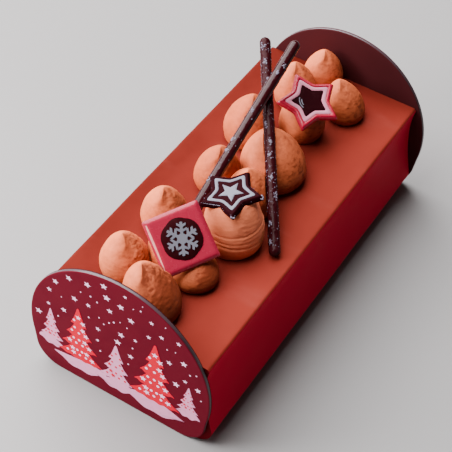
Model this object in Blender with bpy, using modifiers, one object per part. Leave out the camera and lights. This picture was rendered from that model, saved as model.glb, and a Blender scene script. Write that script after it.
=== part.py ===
"""A yule log cake: a long glazed mousse cake between two upright end panels.

The top carries two staggered rows of piped cream dollops. Two chocolate
sticks, two moulded chocolate stars and a square chocolate plaque rest on them.

X runs across the cake, Y along it from the front panel to the back one, and
Z up. The origin is under the middle of the cake, on the surface it stands on.
"""

import math
from dataclasses import dataclass

import bmesh
import bpy
from mathutils import Matrix, Vector

MM = 0.001
GAP = 0.3 * MM

# Cake
CAKE_LENGTH = 200 * MM
CAKE_HEIGHT = 53.6 * MM
TOP_HALF_WIDTH = 43.2 * MM
WAIST_HALF_WIDTH = 41.8 * MM
FOOT_HALF_WIDTH = 46.8 * MM
WAIST_LEVEL = 41 * MM
TOP_EDGE_RADIUS = 1.6 * MM
FOOT_RADIUS = 9.5 * MM
FLANK_LEVELS = tuple(level * MM for level in (15, 20, 25, 30, 35, 41, 46))
FLANK_POWER = 1.7

# End panels
PANEL_HEIGHT = 81.6 * MM
PANEL_HALF_WIDTH = 48 * MM
PANEL_THICKNESS = 2.4 * MM
PANEL_ARCH_LEVEL = 30 * MM
PANEL_FOOT_RADIUS = 13 * MM
PANEL_FOOT_HALF_WIDTH = 46 * MM
PANEL_RIM = 0.7 * MM
PANEL_SHIFT = 2 * MM
ARCH_START = -12
ARCH_STEPS = 14

# Toppings
STICK_RADIUS = 2.8 * MM
STAR_THICKNESS = 2.8 * MM
STAR_NOTCH = 0.61
STAR_TOP_SCALE = 0.84
STAR_ROUNDING = 0.5 * MM
PLAQUE_SIDE = 27 * MM
PLAQUE_THICKNESS = 3.2 * MM
PLAQUE_BEVEL = 1.0 * MM

# Dollop form
DOLLOP_SIDES = 20
DOLLOP_RINGS = 11
BELLY_LEVEL = 0.26
FOOT_SHARE = 0.84
PEAK_POWER = 0.78
LEAN_POWER = 1.7
COIL_DEPTH = 0.035
COIL_LEVEL = 0.17
COIL_WIDTH = 0.06


@dataclass
class Dollop:
    """One piped dollop: its place on the cake top, its size and the shift of its peak."""

    x: float
    y: float
    radius: float
    height: float
    lean_x: float
    lean_y: float


DOLLOPS = (
    Dollop(-17.4, -73.5, 11.6, 20.5, -3.4, 2.0),
    Dollop(4.8, -85.5, 13.2, 22.5, -8.0, 3.0),
    Dollop(-4.5, -59.5, 9.6, 24.0, -1.0, 1.0),
    Dollop(10.6, -60.0, 11.0, 14.6, -2.0, 2.0),
    Dollop(-19.0, -39.8, 11.2, 21.0, -2.2, 1.6),
    Dollop(12.4, -31.0, 14.0, 26.0, -3.0, 3.0),
    Dollop(-12.8, -3.8, 11.6, 21.0, -1.2, 3.0),
    Dollop(8.0, -9.0, 12.0, 22.0, -3.0, 1.5),
    Dollop(6.6, 15.9, 16.0, 23.0, -6.0, 5.0),
    Dollop(-17.4, 32.5, 12.8, 23.0, -1.5, 5.0),
    Dollop(2.4, 51.2, 11.6, 23.0, -1.5, 1.0),
    Dollop(-11.3, 69.4, 11.2, 21.0, -4.0, 3.5),
    Dollop(14.5, 74.8, 10.3, 19.0, -6.0, 1.5),
    Dollop(-6.2, 88.6, 10.6, 20.0, -2.0, 2.5),
)

# Stick ends, plaque and star places, above the cake top
STICK_LOW_END = (34.6, -30.6, 2.3)
STICK_HIGH_END = (-27.1, 59.4, 40.0)
CROSSING_LOW_END = (-4.0, -51.1, 10.7)
CROSSING_HIGH_END = (-10.9, 62.0, 43.5)
RED_STAR = {"centre": (4.6, 50.9, 20.0), "facing": (0.27, -0.275), "turn": 0.2, "reach": 16.3}
DARK_STAR = {"centre": (8.2, -27.8, 24.0), "facing": (-0.125, -0.094), "turn": 16.7, "reach": 15.25}
PLAQUE = {"centre": (1.0, -58.3, 18.0), "facing": (0.612, -0.449), "turn": 55.4}


def clear_scene():
    """Remove every object that the new scene starts with."""
    for obj in list(bpy.data.objects):
        bpy.data.objects.remove(obj, do_unlink=True)


def new_collection(name, hidden=False):
    """Add a collection to the scene; a hidden one holds only cutters."""
    collection = bpy.data.collections.new(name)
    bpy.context.scene.collection.children.link(collection)
    collection.hide_render = hidden
    return collection


def material(name, colour, roughness, metallic=0.0):
    """A Principled material in one plain colour."""
    made = bpy.data.materials.new(name)
    made.use_nodes = True
    shader = made.node_tree.nodes["Principled BSDF"]
    shader.inputs["Base Color"].default_value = (*colour, 1.0)
    shader.inputs["Roughness"].default_value = roughness
    shader.inputs["Metallic"].default_value = metallic
    return made


def add_object(name, mesh, collection, finish=None):
    """Put a mesh in the scene as an object of this name."""
    obj = bpy.data.objects.new(name, mesh)
    collection.objects.link(obj)
    if finish:
        mesh.materials.append(finish)
    return obj


def mesh_of(name, shape):
    """Turn a bmesh into a smooth-shaded mesh whose faces point out."""
    bmesh.ops.recalc_face_normals(shape, faces=shape.faces[:])
    mesh = bpy.data.meshes.new(name)
    shape.to_mesh(mesh)
    shape.free()
    mesh.shade_smooth()
    mesh.set_sharp_from_angle(angle=math.radians(35))
    return mesh


def arc(centre_x, centre_z, radius, start, end, steps):
    """Points on a circular arc, from one angle to another in degrees."""
    points = []
    for step in range(steps + 1):
        angle = math.radians(start + (end - start) * step / steps)
        points.append((centre_x + radius * math.cos(angle), centre_z + radius * math.sin(angle)))
    return points


def mirrored(right_side):
    """A closed outline from its right half, given from the foot to the top."""
    left_side = [(-x, z) for x, z in reversed(right_side) if x > 1e-6]
    return right_side + left_side


def cake_outline():
    """Cross-section of the cake: rounded feet, a slight waist and crisp top edges."""
    foot = arc(FOOT_HALF_WIDTH - FOOT_RADIUS, FOOT_RADIUS, FOOT_RADIUS, -90, 0, 6)
    top_corner = CAKE_HEIGHT - TOP_EDGE_RADIUS
    flank = []
    for z in FLANK_LEVELS:
        if z < WAIST_LEVEL:
            share = (WAIST_LEVEL - z) / (WAIST_LEVEL - FOOT_RADIUS)
            bulge = FOOT_HALF_WIDTH - WAIST_HALF_WIDTH
        else:
            share = (z - WAIST_LEVEL) / (top_corner - WAIST_LEVEL)
            bulge = TOP_HALF_WIDTH - WAIST_HALF_WIDTH
        flank.append((WAIST_HALF_WIDTH + bulge * share**FLANK_POWER, z))
    edge = arc(TOP_HALF_WIDTH - TOP_EDGE_RADIUS, top_corner, TOP_EDGE_RADIUS, 0, 90, 4)
    return mirrored(foot + flank + edge)


def panel_outline():
    """Outline of an end panel: flat foot, round lower corners and a half-ellipse arch."""
    corner_x = PANEL_FOOT_HALF_WIDTH - PANEL_FOOT_RADIUS
    foot = arc(corner_x, PANEL_FOOT_RADIUS, PANEL_FOOT_RADIUS, -90, -6, 6)
    arch_height = PANEL_HEIGHT - PANEL_ARCH_LEVEL
    arch = []
    for step in range(ARCH_STEPS):
        angle = math.radians(ARCH_START + (90 - ARCH_START) * step / ARCH_STEPS)
        across = PANEL_HALF_WIDTH * math.cos(angle)
        arch.append((across, PANEL_ARCH_LEVEL + arch_height * math.sin(angle)))
    return mirrored(foot + arch + [(0.0, PANEL_HEIGHT)])


def extruded(name, outline, length):
    """A mesh with this outline in XZ, as long as given and centred on Y."""
    curve = bpy.data.curves.new(name, "CURVE")
    curve.dimensions = "2D"
    curve.fill_mode = "BOTH"
    curve.extrude = length / 2
    spline = curve.splines.new("POLY")
    spline.points.add(len(outline) - 1)
    for point, (x, z) in zip(spline.points, outline):
        point.co = (x, z, 0.0, 1.0)
    spline.use_cyclic_u = True
    guide = bpy.data.objects.new(name + "_curve", curve)
    bpy.context.scene.collection.objects.link(guide)
    graph = bpy.context.evaluated_depsgraph_get()
    flat = bpy.data.meshes.new_from_object(guide.evaluated_get(graph))
    bpy.data.objects.remove(guide, do_unlink=True)
    shape = bmesh.new()
    shape.from_mesh(flat)
    bpy.data.meshes.remove(flat)
    bmesh.ops.remove_doubles(shape, verts=shape.verts[:], dist=0.01 * MM)
    bmesh.ops.transform(shape, matrix=Matrix.Rotation(math.pi / 2, 4, "X"), verts=shape.verts[:])
    return mesh_of(name, shape)


def build_cake(collection, finish):
    """The cake itself, solid from panel to panel."""
    mesh = extruded("cake_body", cake_outline(), CAKE_LENGTH - 2 * GAP)
    return add_object("cake_body", mesh, collection, finish)


def build_panel(name, side, collection, finish):
    """An upright end panel with a rounded rim; side is -1 at the front and 1 at the back."""
    mesh = extruded(name, panel_outline(), PANEL_THICKNESS)
    panel = add_object(name, mesh, collection, finish)
    panel.location = (side * PANEL_SHIFT, side * (CAKE_LENGTH + PANEL_THICKNESS) / 2, 0)
    rim = panel.modifiers.new("rim", "BEVEL")
    rim.width = PANEL_RIM
    rim.segments = 2
    rim.limit_method = "ANGLE"
    rim.angle_limit = math.radians(60)
    return panel


def profile_radius(rise):
    """Share of a dollop's full radius at this share of its height."""
    if rise < BELLY_LEVEL:
        fall = (BELLY_LEVEL - rise) / BELLY_LEVEL
        share = 1 - (1 - FOOT_SHARE) * fall**2
    else:
        fall = (rise - BELLY_LEVEL) / (1 - BELLY_LEVEL)
        share = max(0.0, 1 - fall**2) ** PEAK_POWER
    coil = math.exp(-(((rise - COIL_LEVEL) / COIL_WIDTH) ** 2))
    return share * (1 - COIL_DEPTH * coil)


def reach_between(first, second):
    """Distance between two dollops in mm, and the share of it that the first one takes."""
    distance = math.hypot(second.x - first.x, second.y - first.y)
    return distance, first.radius / (first.radius + second.radius)


def press_together(shape, dollop):
    """Flatten a dollop where it meets its neighbours and the end panels, leaving the gap."""
    walls = []
    for other in DOLLOPS:
        distance, share = reach_between(dollop, other)
        if other is dollop or distance > dollop.radius + other.radius + 1:
            continue
        away = Vector(((other.x - dollop.x) / distance, (other.y - dollop.y) / distance, 0))
        walls.append((away, distance * share * MM - GAP / 2))
    for side in (-1, 1):
        to_panel = CAKE_LENGTH / 2 - side * dollop.y * MM - GAP
        walls.append((Vector((0, side, 0)), to_panel))
    for vertex in shape.verts:
        for away, limit in walls:
            beyond = vertex.co.dot(away) - limit
            if beyond > 0:
                vertex.co -= away * beyond


def dollop_shape(dollop):
    """A dollop shaped from a sphere: flat foot, full belly and a leaning peak."""
    shape = bmesh.new()
    bmesh.ops.create_uvsphere(
        shape, u_segments=DOLLOP_SIDES, v_segments=DOLLOP_RINGS + 1, radius=1.0
    )
    first_ring = math.pi / (DOLLOP_RINGS + 1)
    lean = Vector((dollop.lean_x, dollop.lean_y, 0)) * MM
    for vertex in shape.verts:
        polar = math.acos(max(-1.0, min(1.0, -vertex.co.z)))
        if polar < first_ring / 2:
            vertex.co = (0, 0, 0)
            continue
        step = (polar - first_ring) / (math.pi - first_ring)
        rise = max(0.0, step)
        at_tip = step > 0.999
        across = Vector() if at_tip else Vector((vertex.co.x, vertex.co.y, 0)).normalized()
        radius = dollop.radius * MM * profile_radius(rise)
        vertex.co = across * radius + lean * rise**LEAN_POWER
        vertex.co.z = dollop.height * MM * rise
    press_together(shape, dollop)
    return shape


def build_dollop(number, dollop, collection, finish):
    """One dollop on the cake top."""
    name = f"dollop_{number:02d}"
    obj = add_object(name, mesh_of(name, dollop_shape(dollop)), collection, finish)
    obj.location = (dollop.x * MM, dollop.y * MM, CAKE_HEIGHT + GAP)
    return obj


def stick_shape(length, radius):
    """A round stick with domed ends, along Z and centred."""
    shape = bmesh.new()
    bmesh.ops.create_uvsphere(shape, u_segments=14, v_segments=9, radius=radius)
    half = length / 2 - radius
    for vertex in shape.verts:
        vertex.co.z += half if vertex.co.z > 0 else -half
    return shape


def star_shape(reach, thickness, extra):
    """A five-pointed star with sloping sides, its underside at Z = 0, grown by extra all round."""
    shape = bmesh.new()
    bmesh.ops.create_circle(shape, cap_ends=True, segments=10, radius=1.0)
    for index, vertex in enumerate(shape.verts):
        radius = reach if index % 2 == 0 else reach * STAR_NOTCH
        growth = extra * (2.0 if index % 2 == 0 else 1.2)
        angle = math.pi * index / 5
        vertex.co = ((radius + growth) * math.cos(angle), (radius + growth) * math.sin(angle), -extra)
    lifted = bmesh.ops.extrude_face_region(shape, geom=shape.faces[:])
    top = [item for item in lifted["geom"] if isinstance(item, bmesh.types.BMVert)]
    for vertex in top:
        vertex.co.x *= STAR_TOP_SCALE
        vertex.co.y *= STAR_TOP_SCALE
        vertex.co.z = thickness + extra
    return shape


def plaque_shape(side, thickness, extra):
    """A square plaque with its underside at Z = 0, grown by extra all round."""
    shape = bmesh.new()
    bmesh.ops.create_cube(shape, size=1.0)
    for vertex in shape.verts:
        vertex.co.x *= side + 2 * extra
        vertex.co.y *= side + 2 * extra
        vertex.co.z = (vertex.co.z + 0.5) * (thickness + 2 * extra) - extra
    return shape


def pose_between(low, high):
    """Matrix that lays a stick along Z from one end to the other, both above the cake top."""
    low_end = Vector(low) * MM
    high_end = Vector(high) * MM
    middle = (low_end + high_end) / 2 + Vector((0, 0, CAKE_HEIGHT))
    along = (high_end - low_end).to_track_quat("Z", "Y")
    return Matrix.Translation(middle) @ along.to_matrix().to_4x4()


def pose_facing(centre, facing, turn):
    """Matrix that lays a flat piece at a centre above the cake top, facing and turned as given."""
    upward = Vector((facing[0], facing[1], 1)).normalized()
    right = (Vector((1, 0, 0)) - upward * upward.x).normalized()
    ahead = upward.cross(right)
    turned = Matrix((right, ahead, upward)).transposed().to_4x4()
    middle = Vector(centre) * MM + Vector((0, 0, CAKE_HEIGHT))
    return Matrix.Translation(middle) @ turned @ Matrix.Rotation(math.radians(turn), 4, "Z")


def rounded(obj, width, segments):
    """Round the edges of a flat piece."""
    bevel = obj.modifiers.new("edges", "BEVEL")
    bevel.width = width
    bevel.segments = segments
    bevel.limit_method = "ANGLE"
    bevel.angle_limit = math.radians(25)


def cutter(name, shape, matrix, collection):
    """A hidden solid that presses a hollow into the dollops below a topping."""
    obj = add_object(name, mesh_of(name, shape), collection)
    obj.matrix_world = matrix
    obj.hide_render = True
    obj.display_type = "WIRE"
    return obj


def build_stick(name, ends, collection, cutters, finish):
    """A chocolate stick between its two ends, with the cutter of its groove."""
    length = (Vector(ends[1]) - Vector(ends[0])).length * MM
    stick = add_object(name, mesh_of(name, stick_shape(length, STICK_RADIUS)), collection, finish)
    stick.matrix_world = pose_between(*ends)
    grown = stick_shape(length + 2 * GAP, STICK_RADIUS + GAP)
    return stick, cutter(name + "_groove", grown, stick.matrix_world, cutters)


def build_star(name, place, collection, cutters, finish):
    """A moulded chocolate star, with the cutter of its hollow."""
    reach = place["reach"] * MM
    shape = star_shape(reach, STAR_THICKNESS, 0.0)
    star = add_object(name, mesh_of(name, shape), collection, finish)
    star.matrix_world = pose_facing(place["centre"], place["facing"], place["turn"])
    rounded(star, STAR_ROUNDING, 2)
    grown = star_shape(reach, STAR_THICKNESS, GAP)
    return star, cutter(name + "_hollow", grown, star.matrix_world, cutters)


def build_plaque(collection, cutters, finish):
    """The square plaque, with the cutter of its hollow."""
    shape = plaque_shape(PLAQUE_SIDE, PLAQUE_THICKNESS, 0.0)
    plaque = add_object("plaque", mesh_of("plaque", shape), collection, finish)
    plaque.matrix_world = pose_facing(PLAQUE["centre"], PLAQUE["facing"], PLAQUE["turn"])
    rounded(plaque, PLAQUE_BEVEL, 2)
    grown = plaque_shape(PLAQUE_SIDE, PLAQUE_THICKNESS, GAP)
    return plaque, cutter("plaque_hollow", grown, plaque.matrix_world, cutters)


def far_apart(dollop, tool):
    """True when a cutter's box clears a dollop's box."""
    tool_corners = [tool.matrix_world @ Vector(corner) for corner in tool.bound_box]
    corners = [dollop.matrix_world @ Vector(corner) for corner in dollop.bound_box]
    for axis in range(3):
        low = max(min(c[axis] for c in corners), min(c[axis] for c in tool_corners))
        high = min(max(c[axis] for c in corners), max(c[axis] for c in tool_corners))
        if high < low:
            return True
    return False


def press_toppings(dollops, tools):
    """Sink each topping into the dollops that it lies on."""
    bpy.context.view_layer.update()
    for dollop in dollops:
        for tool in tools:
            if far_apart(dollop, tool):
                continue
            hollow = dollop.modifiers.new(tool.name, "BOOLEAN")
            hollow.operation = "DIFFERENCE"
            hollow.solver = "EXACT"
            hollow.object = tool


def build():
    """Build the whole cake."""
    clear_scene()
    parts = new_collection("yule_log_cake")
    cutters = new_collection("cutters", hidden=True)
    glaze = material("cocoa_glaze", (0.38, 0.065, 0.035), 0.55)
    cream = material("chocolate_cream", (0.66, 0.24, 0.13), 0.5)
    panel = material("printed_panel", (0.16, 0.012, 0.02), 0.35)
    dark = material("dark_chocolate", (0.045, 0.006, 0.008), 0.25)
    red = material("red_chocolate", (0.62, 0.05, 0.08), 0.3)
    pink = material("pink_chocolate", (0.68, 0.09, 0.11), 0.45)
    build_cake(parts, glaze)
    build_panel("panel_front", -1, parts, panel)
    build_panel("panel_back", 1, parts, panel)
    dollops = [build_dollop(n, spec, parts, cream) for n, spec in enumerate(DOLLOPS, start=1)]
    ends = (STICK_LOW_END, STICK_HIGH_END)
    crossing_ends = (CROSSING_LOW_END, CROSSING_HIGH_END)
    tools = [
        build_stick("stick_lower", ends, parts, cutters, dark)[1],
        build_stick("stick_upper", crossing_ends, parts, cutters, dark)[1],
        build_star("star_red", RED_STAR, parts, cutters, red)[1],
        build_star("star_dark", DARK_STAR, parts, cutters, dark)[1],
        build_plaque(parts, cutters, pink)[1],
    ]
    press_toppings(dollops, tools)


build()
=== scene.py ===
"""A yule log cake in a plain studio: its finishes, its fine shapes, the light and the camera.

Sizes are in millimetres until a mesh is made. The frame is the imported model's own: X across
the cake, Y from the front panel to the back one, Z up, and the origin under the cake's middle.
"""

import logging
import math
from dataclasses import dataclass, field
from enum import Enum
from functools import cache
from typing import Any, Callable, Iterable

import bmesh
import bpy
import numpy as np
from mathutils import Matrix, Vector, noise


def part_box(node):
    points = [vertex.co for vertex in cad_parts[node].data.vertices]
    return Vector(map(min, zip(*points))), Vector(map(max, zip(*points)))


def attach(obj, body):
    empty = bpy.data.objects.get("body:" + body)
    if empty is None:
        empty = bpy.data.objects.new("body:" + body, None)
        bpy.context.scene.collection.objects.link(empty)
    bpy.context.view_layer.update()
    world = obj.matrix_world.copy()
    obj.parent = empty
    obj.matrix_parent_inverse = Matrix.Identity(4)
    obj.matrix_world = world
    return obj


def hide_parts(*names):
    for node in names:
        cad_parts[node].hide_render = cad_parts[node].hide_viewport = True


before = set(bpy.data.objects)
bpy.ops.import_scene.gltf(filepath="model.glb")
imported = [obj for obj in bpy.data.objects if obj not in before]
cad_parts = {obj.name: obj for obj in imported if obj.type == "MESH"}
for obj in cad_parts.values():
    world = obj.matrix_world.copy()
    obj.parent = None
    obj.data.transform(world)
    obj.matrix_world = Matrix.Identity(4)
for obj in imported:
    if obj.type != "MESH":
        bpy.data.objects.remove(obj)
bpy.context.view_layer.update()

MM = 0.001
CAKE_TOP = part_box("cake_body")[1].z / MM
PANEL_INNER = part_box("panel_back")[0].y / MM
GAP = 0.1
TINY = 1e-6
CREASE_FINE = 30.0
CREASE_MOULDED = 60.0
CREASE_ROUND = 80.0
PRINT_STAR_NOTCH = 0.45
NOISE_SHIFT = Vector((17.3, 5.1, 9.7))
NOISE_FALL = 0.9
NOISE_STEP = 2.0

log = logging.getLogger("yule_log")

Colour = tuple[float, float, float]
Point = tuple[float, float, float]
Spot = tuple[float, float, float]
Outline = list[tuple[float, float]]


class Side(Enum):
    """The two ends of the cake."""

    FRONT = -1
    BACK = 1


class Slot(Enum):
    """The record's material slots."""

    GLAZE = "cocoa_glaze"
    CREAM = "chocolate_cream"
    PANEL = "printed_panel"
    DARK = "dark_chocolate"
    RED = "red_chocolate"
    PINK = "pink_chocolate"


# Shader maths


class Wire:
    """A value that varies over a surface: an output socket that takes part in sums."""

    def __init__(self, recipe: "Recipe", socket: bpy.types.NodeSocket) -> None:
        """Keep the socket and the recipe that it belongs to."""
        self.recipe = recipe
        self.socket = socket

    def __add__(self, other: "Wire | float") -> "Wire":
        """Sum of two values."""
        return self.recipe.math("ADD", self, other)

    def __radd__(self, other: float) -> "Wire":
        """Sum, with the number first."""
        return self.recipe.math("ADD", other, self)

    def __sub__(self, other: "Wire | float") -> "Wire":
        """Difference of two values."""
        return self.recipe.math("SUBTRACT", self, other)

    def __rsub__(self, other: float) -> "Wire":
        """Difference, with the number first."""
        return self.recipe.math("SUBTRACT", other, self)

    def __mul__(self, other: "Wire | float") -> "Wire":
        """Product of two values."""
        return self.recipe.math("MULTIPLY", self, other)

    def __rmul__(self, other: float) -> "Wire":
        """Product, with the number first."""
        return self.recipe.math("MULTIPLY", other, self)

    def step(self, low: float, high: float) -> "Wire":
        """A smooth rise from 0 to 1.

        Args:
            low: Where it starts.
            high: Where it ends; an end below the start makes it fall instead.

        Returns:
            How far it has risen.
        """
        settings = {"interpolation_type": "SMOOTHSTEP"}
        sockets = {"Value": self, "From Min": low, "From Max": high}
        return self.recipe.out("ShaderNodeMapRange", settings, sockets)


class Recipe:
    """One material under construction, around its Principled shader."""

    def __init__(self, name: str) -> None:
        """Start a material with a plain Principled shader.

        Args:
            name: The material's name.
        """
        self.material = bpy.data.materials.new(name)
        self.material.use_nodes = True
        self.tree = self.material.node_tree
        self.shader = self.tree.nodes["Principled BSDF"]

    def node(
        self, kind: str, settings: dict[str, Any] | None = None, sockets: dict[Any, Any] | None = None
    ) -> bpy.types.Node:
        """Add any node.

        Args:
            kind: The node's type.
            settings: Its own settings, set before its sockets.
            sockets: Values or wires for its inputs, by name or number.

        Returns:
            The new node.
        """
        made = self.tree.nodes.new(kind)
        for key, value in (settings or {}).items():
            setattr(made, key, value)
        for key, value in (sockets or {}).items():
            self.feed(made.inputs[key], value)
        return made

    def feed(self, socket: bpy.types.NodeSocket, value: Any) -> None:
        """Link a wire to an input, or set the input to a plain value.

        Args:
            socket: The input.
            value: A wire, a number, a colour or a vector.
        """
        if isinstance(value, Wire):
            self.tree.links.new(value.socket, socket)
        elif socket.type == "RGBA":
            socket.default_value = (*value, 1.0)
        else:
            socket.default_value = value

    def out(
        self, kind: str, settings: dict[str, Any] | None, sockets: dict[Any, Any], output: Any = 0
    ) -> Wire:
        """Add any node and take one of its outputs.

        Args:
            kind: The node's type.
            settings: Its own settings.
            sockets: Values or wires for its inputs.
            output: The output's name or number.

        Returns:
            The output as a wire.
        """
        return Wire(self, self.node(kind, settings, sockets).outputs[output])

    def math(self, operation: str, first: "Wire | float", second: "Wire | float") -> Wire:
        """A Math node on two values."""
        return self.out("ShaderNodeMath", {"operation": operation}, {0: first, 1: second})

    def mix(self, factor: "Wire | float", first: Any, second: Any) -> Wire:
        """A blend of two colours.

        Args:
            factor: 0 for the first colour, 1 for the second.
            first: A colour or a wire.
            second: A colour or a wire.

        Returns:
            The blended colour.
        """
        settings = {"data_type": "RGBA"}
        return self.out("ShaderNodeMix", settings, {0: factor, 6: first, 7: second}, 2)

    def place(self, stretch: Point = (1.0, 1.0, 1.0)) -> Wire:
        """The point on the piece in millimetres, in the piece's own frame.

        Args:
            stretch: Factors along X, Y and Z; a small one draws a pattern out.

        Returns:
            The point as a vector.
        """
        point = self.out("ShaderNodeTexCoord", None, {}, "Object")
        factors = tuple(share / MM for share in stretch)
        return self.out("ShaderNodeVectorMath", {"operation": "MULTIPLY"}, {0: point, 1: factors})

    def axis(self, name: str) -> Wire:
        """One coordinate of the point on the piece, in millimetres."""
        return self.out("ShaderNodeSeparateXYZ", None, {0: self.place()}, name)

    def facing(self, name: str) -> Wire:
        """One coordinate of the surface's own direction."""
        normal = self.out("ShaderNodeNewGeometry", None, {}, "Normal")
        return self.out("ShaderNodeSeparateXYZ", None, {0: normal}, name)

    def noise(self, size: float, detail: float = 2.0, stretch: Point = (1.0, 1.0, 1.0)) -> Wire:
        """Soft noise from 0 to 1.

        Args:
            size: Rough size of its patches in millimetres.
            detail: How many finer layers it has.
            stretch: Factors along X, Y and Z.

        Returns:
            The noise as a wire.
        """
        sockets = {"Vector": self.place(stretch), "Scale": 1 / size, "Detail": detail}
        return self.out("ShaderNodeTexNoise", None, sockets, 0)

    def specks(self, size: float, share: float) -> Wire:
        """Small round specks.

        Args:
            size: Mean distance between specks in millimetres.
            share: Radius of a speck as a share of that distance.

        Returns:
            1 inside a speck and 0 outside.
        """
        sockets = {"Vector": self.place(), "Scale": 1 / size}
        distance = self.out("ShaderNodeTexVoronoi", None, sockets, "Distance")
        return distance.step(share, share * 0.6)

    def bump(self, height: Wire, depth: float) -> Wire:
        """Fine relief.

        Args:
            height: Its height, from 0 to 1.
            depth: The height of 1, in millimetres.

        Returns:
            The bent surface direction.
        """
        sockets = {"Strength": 1.0, "Distance": depth * MM, "Height": height}
        return self.out("ShaderNodeBump", None, sockets, "Normal")

    def finish(self, **sockets: Any) -> bpy.types.Material:
        """Set the shader's sockets.

        Args:
            sockets: Values or wires by socket name, with _ for each space.

        Returns:
            The finished material.
        """
        for name, value in sockets.items():
            self.feed(self.shader.inputs[name.replace("_", " ")], value)
        return self.material


# Finishes


@dataclass(frozen=True)
class CocoaVelvet:
    """Cocoa sprayed over mousse: red-brown on top, deeper red on the flanks, faintly smudged.

    Painted shade darkens the top to the left, to the back and near the panels. For the last, the squares of
    two distances from the cake's middle set where that starts and ends. The flanks are painted by side for
    how the light falls: the shaded +X flank gets a brighter red than the lit -X flank, and the end faces a
    dark red as shade.
    """

    name: str = "cocoa_velvet"
    top: Colour = (0.184, 0.0212, 0.0142)
    # Painted shade colour that the top darkens to; it is also the dark tone of the random smudges.
    shade: Colour = (0.085, 0.0085, 0.0055)
    flank: Colour = (0.50, 0.011, 0.034)
    # Painted light: the -X flank, which the key light reaches, is darker red than the shaded +X flank; the
    # end faces are dark as shade.
    lit_flank: Colour = (0.15, 0.007, 0.012)
    end: Colour = (0.10, 0.002, 0.006)
    dust: Colour = (0.24, 0.055, 0.045)
    # Where the painted shade falls on the top: to the left, to the back and near the panels.
    left_shade_half: float = 42.0
    back_shade_span: tuple[float, float] = (-40.0, 110.0)
    panel_shade_squares: tuple[float, float] = (6700.0, 9800.0)
    left_shade_share: float = 0.7
    back_shade_share: float = 0.14
    panel_shade_share: float = 0.3
    smudge_share: float = 0.2
    cloud_share: float = 0.05
    dust_share: float = 0.22

    def make(self) -> bpy.types.Material:
        """Build the material.

        Returns:
            The material.
        """
        recipe = Recipe(self.name)
        smudge = recipe.noise(22.0, 3.0, (1.0, 0.45, 1.0)).step(0.35, 0.7)
        cloud = recipe.noise(5.0, 2.0).step(0.3, 0.8)
        upward = recipe.facing("Z").step(0.25, 0.65)
        # Painted shade: the top darkens to the left, to the back and near the panels.
        across = recipe.axis("X").step(self.left_shade_half, -self.left_shade_half)
        length = recipe.axis("Y")
        along = length.step(*self.back_shade_span)
        panel_shade = (length * length).step(*self.panel_shade_squares)
        fade = across * self.left_shade_share + along * self.back_shade_share + panel_shade * self.panel_shade_share
        share = fade + smudge * self.smudge_share + cloud * self.cloud_share
        shade = recipe.mix(share, self.top, self.shade)
        dust = recipe.noise(16.0, 4.0, (0.35, 1.0, 1.0)).step(0.58, 0.8)
        top = recipe.mix(dust * self.dust_share, shade, self.dust)
        outward = recipe.facing("Y")
        # Painted light and shade: the shaded +X flank is brighter red than the lit -X flank, and the end
        # faces are darker.
        flank = recipe.mix(recipe.facing("X").step(0.2, -0.2), self.flank, self.lit_flank)
        side = recipe.mix((outward * outward).step(0.5, 0.8), flank, self.end)
        colour = recipe.mix(upward, side, top)
        grain = recipe.noise(0.35, 1.0)
        return recipe.finish(
            Base_Color=colour,
            Roughness=0.5 + 0.14 * smudge,
            Normal=recipe.bump(grain, 0.02),
            Specular_IOR_Level=0.01,
        )


@dataclass(frozen=True)
class PipedCream:
    """Smooth milk chocolate cream with a soft satin and small pores, and painted shade that darkens the
    sides facing +X, away from the key light.
    """

    name: str = "piped_cream"
    light: Colour = (0.64, 0.140, 0.052)
    deep: Colour = (0.17, 0.030, 0.012)
    # Where and how much the painted shade darkens the +X-facing sides.
    turn_start: float = -0.3
    turn_end: float = 0.9
    painted_shade_share: float = 0.65
    patch_share: float = 0.2
    vein_share: float = 0.14
    rough_vein_share: float = 0.25
    rough_pore_share: float = 0.2

    def make(self) -> bpy.types.Material:
        """Build the material.

        Returns:
            The material.
        """
        recipe = Recipe(self.name)
        patch = recipe.noise(5.0, 3.0).step(0.3, 0.75)
        vein = recipe.noise(1.6, 4.0, (0.6, 0.6, 1.3)).step(0.45, 0.75)
        pores = recipe.specks(3.1, 0.10)
        grain = recipe.noise(0.8, 4.0)
        # Painted shade: surfaces turned to +X take the deep colour; the veins and pores also grow stronger
        # there.
        rough = recipe.facing("X").step(self.turn_start, self.turn_end)
        rough_marks = rough * (vein * self.rough_vein_share + pores * self.rough_pore_share)
        marks = rough_marks + vein * self.vein_share
        share = patch * self.patch_share + rough * self.painted_shade_share + marks
        colour = recipe.mix(share, self.light, self.deep)
        return recipe.finish(
            Base_Color=colour,
            Roughness=0.42 + 0.14 * patch,
            Normal=recipe.bump(grain - 0.6 * pores - 0.4 * vein, 0.07),
            Specular_IOR_Level=0.08,
        )


@dataclass(frozen=True)
class Lacquer:
    """Smooth coating on a panel, plainer on its inner face, with faint handling marks."""

    name: str
    colour: Colour
    worn: Colour
    inner: Colour
    roughness: float = 0.45
    gloss: float = 0.02
    inner_depth: float = 0.4
    outer_depth: float = 0.8

    def make(self) -> bpy.types.Material:
        """Build the material.

        Returns:
            The material.
        """
        recipe = Recipe(self.name)
        mark = recipe.noise(14.0, 3.0).step(0.4, 0.75)
        fine = recipe.noise(0.6, 2.0)
        along = recipe.axis("Y")
        near, far = PANEL_INNER + self.inner_depth, PANEL_INNER + self.outer_depth
        outward = (along * along).step(near**2, far**2)
        outer = recipe.mix(mark * 0.6 + fine * 0.15, self.colour, self.worn)
        return recipe.finish(
            Base_Color=recipe.mix(outward, self.inner, outer),
            Roughness=self.roughness + 0.12 * mark,
            Normal=recipe.bump(fine, 0.01),
            Specular_IOR_Level=self.gloss,
        )


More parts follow.
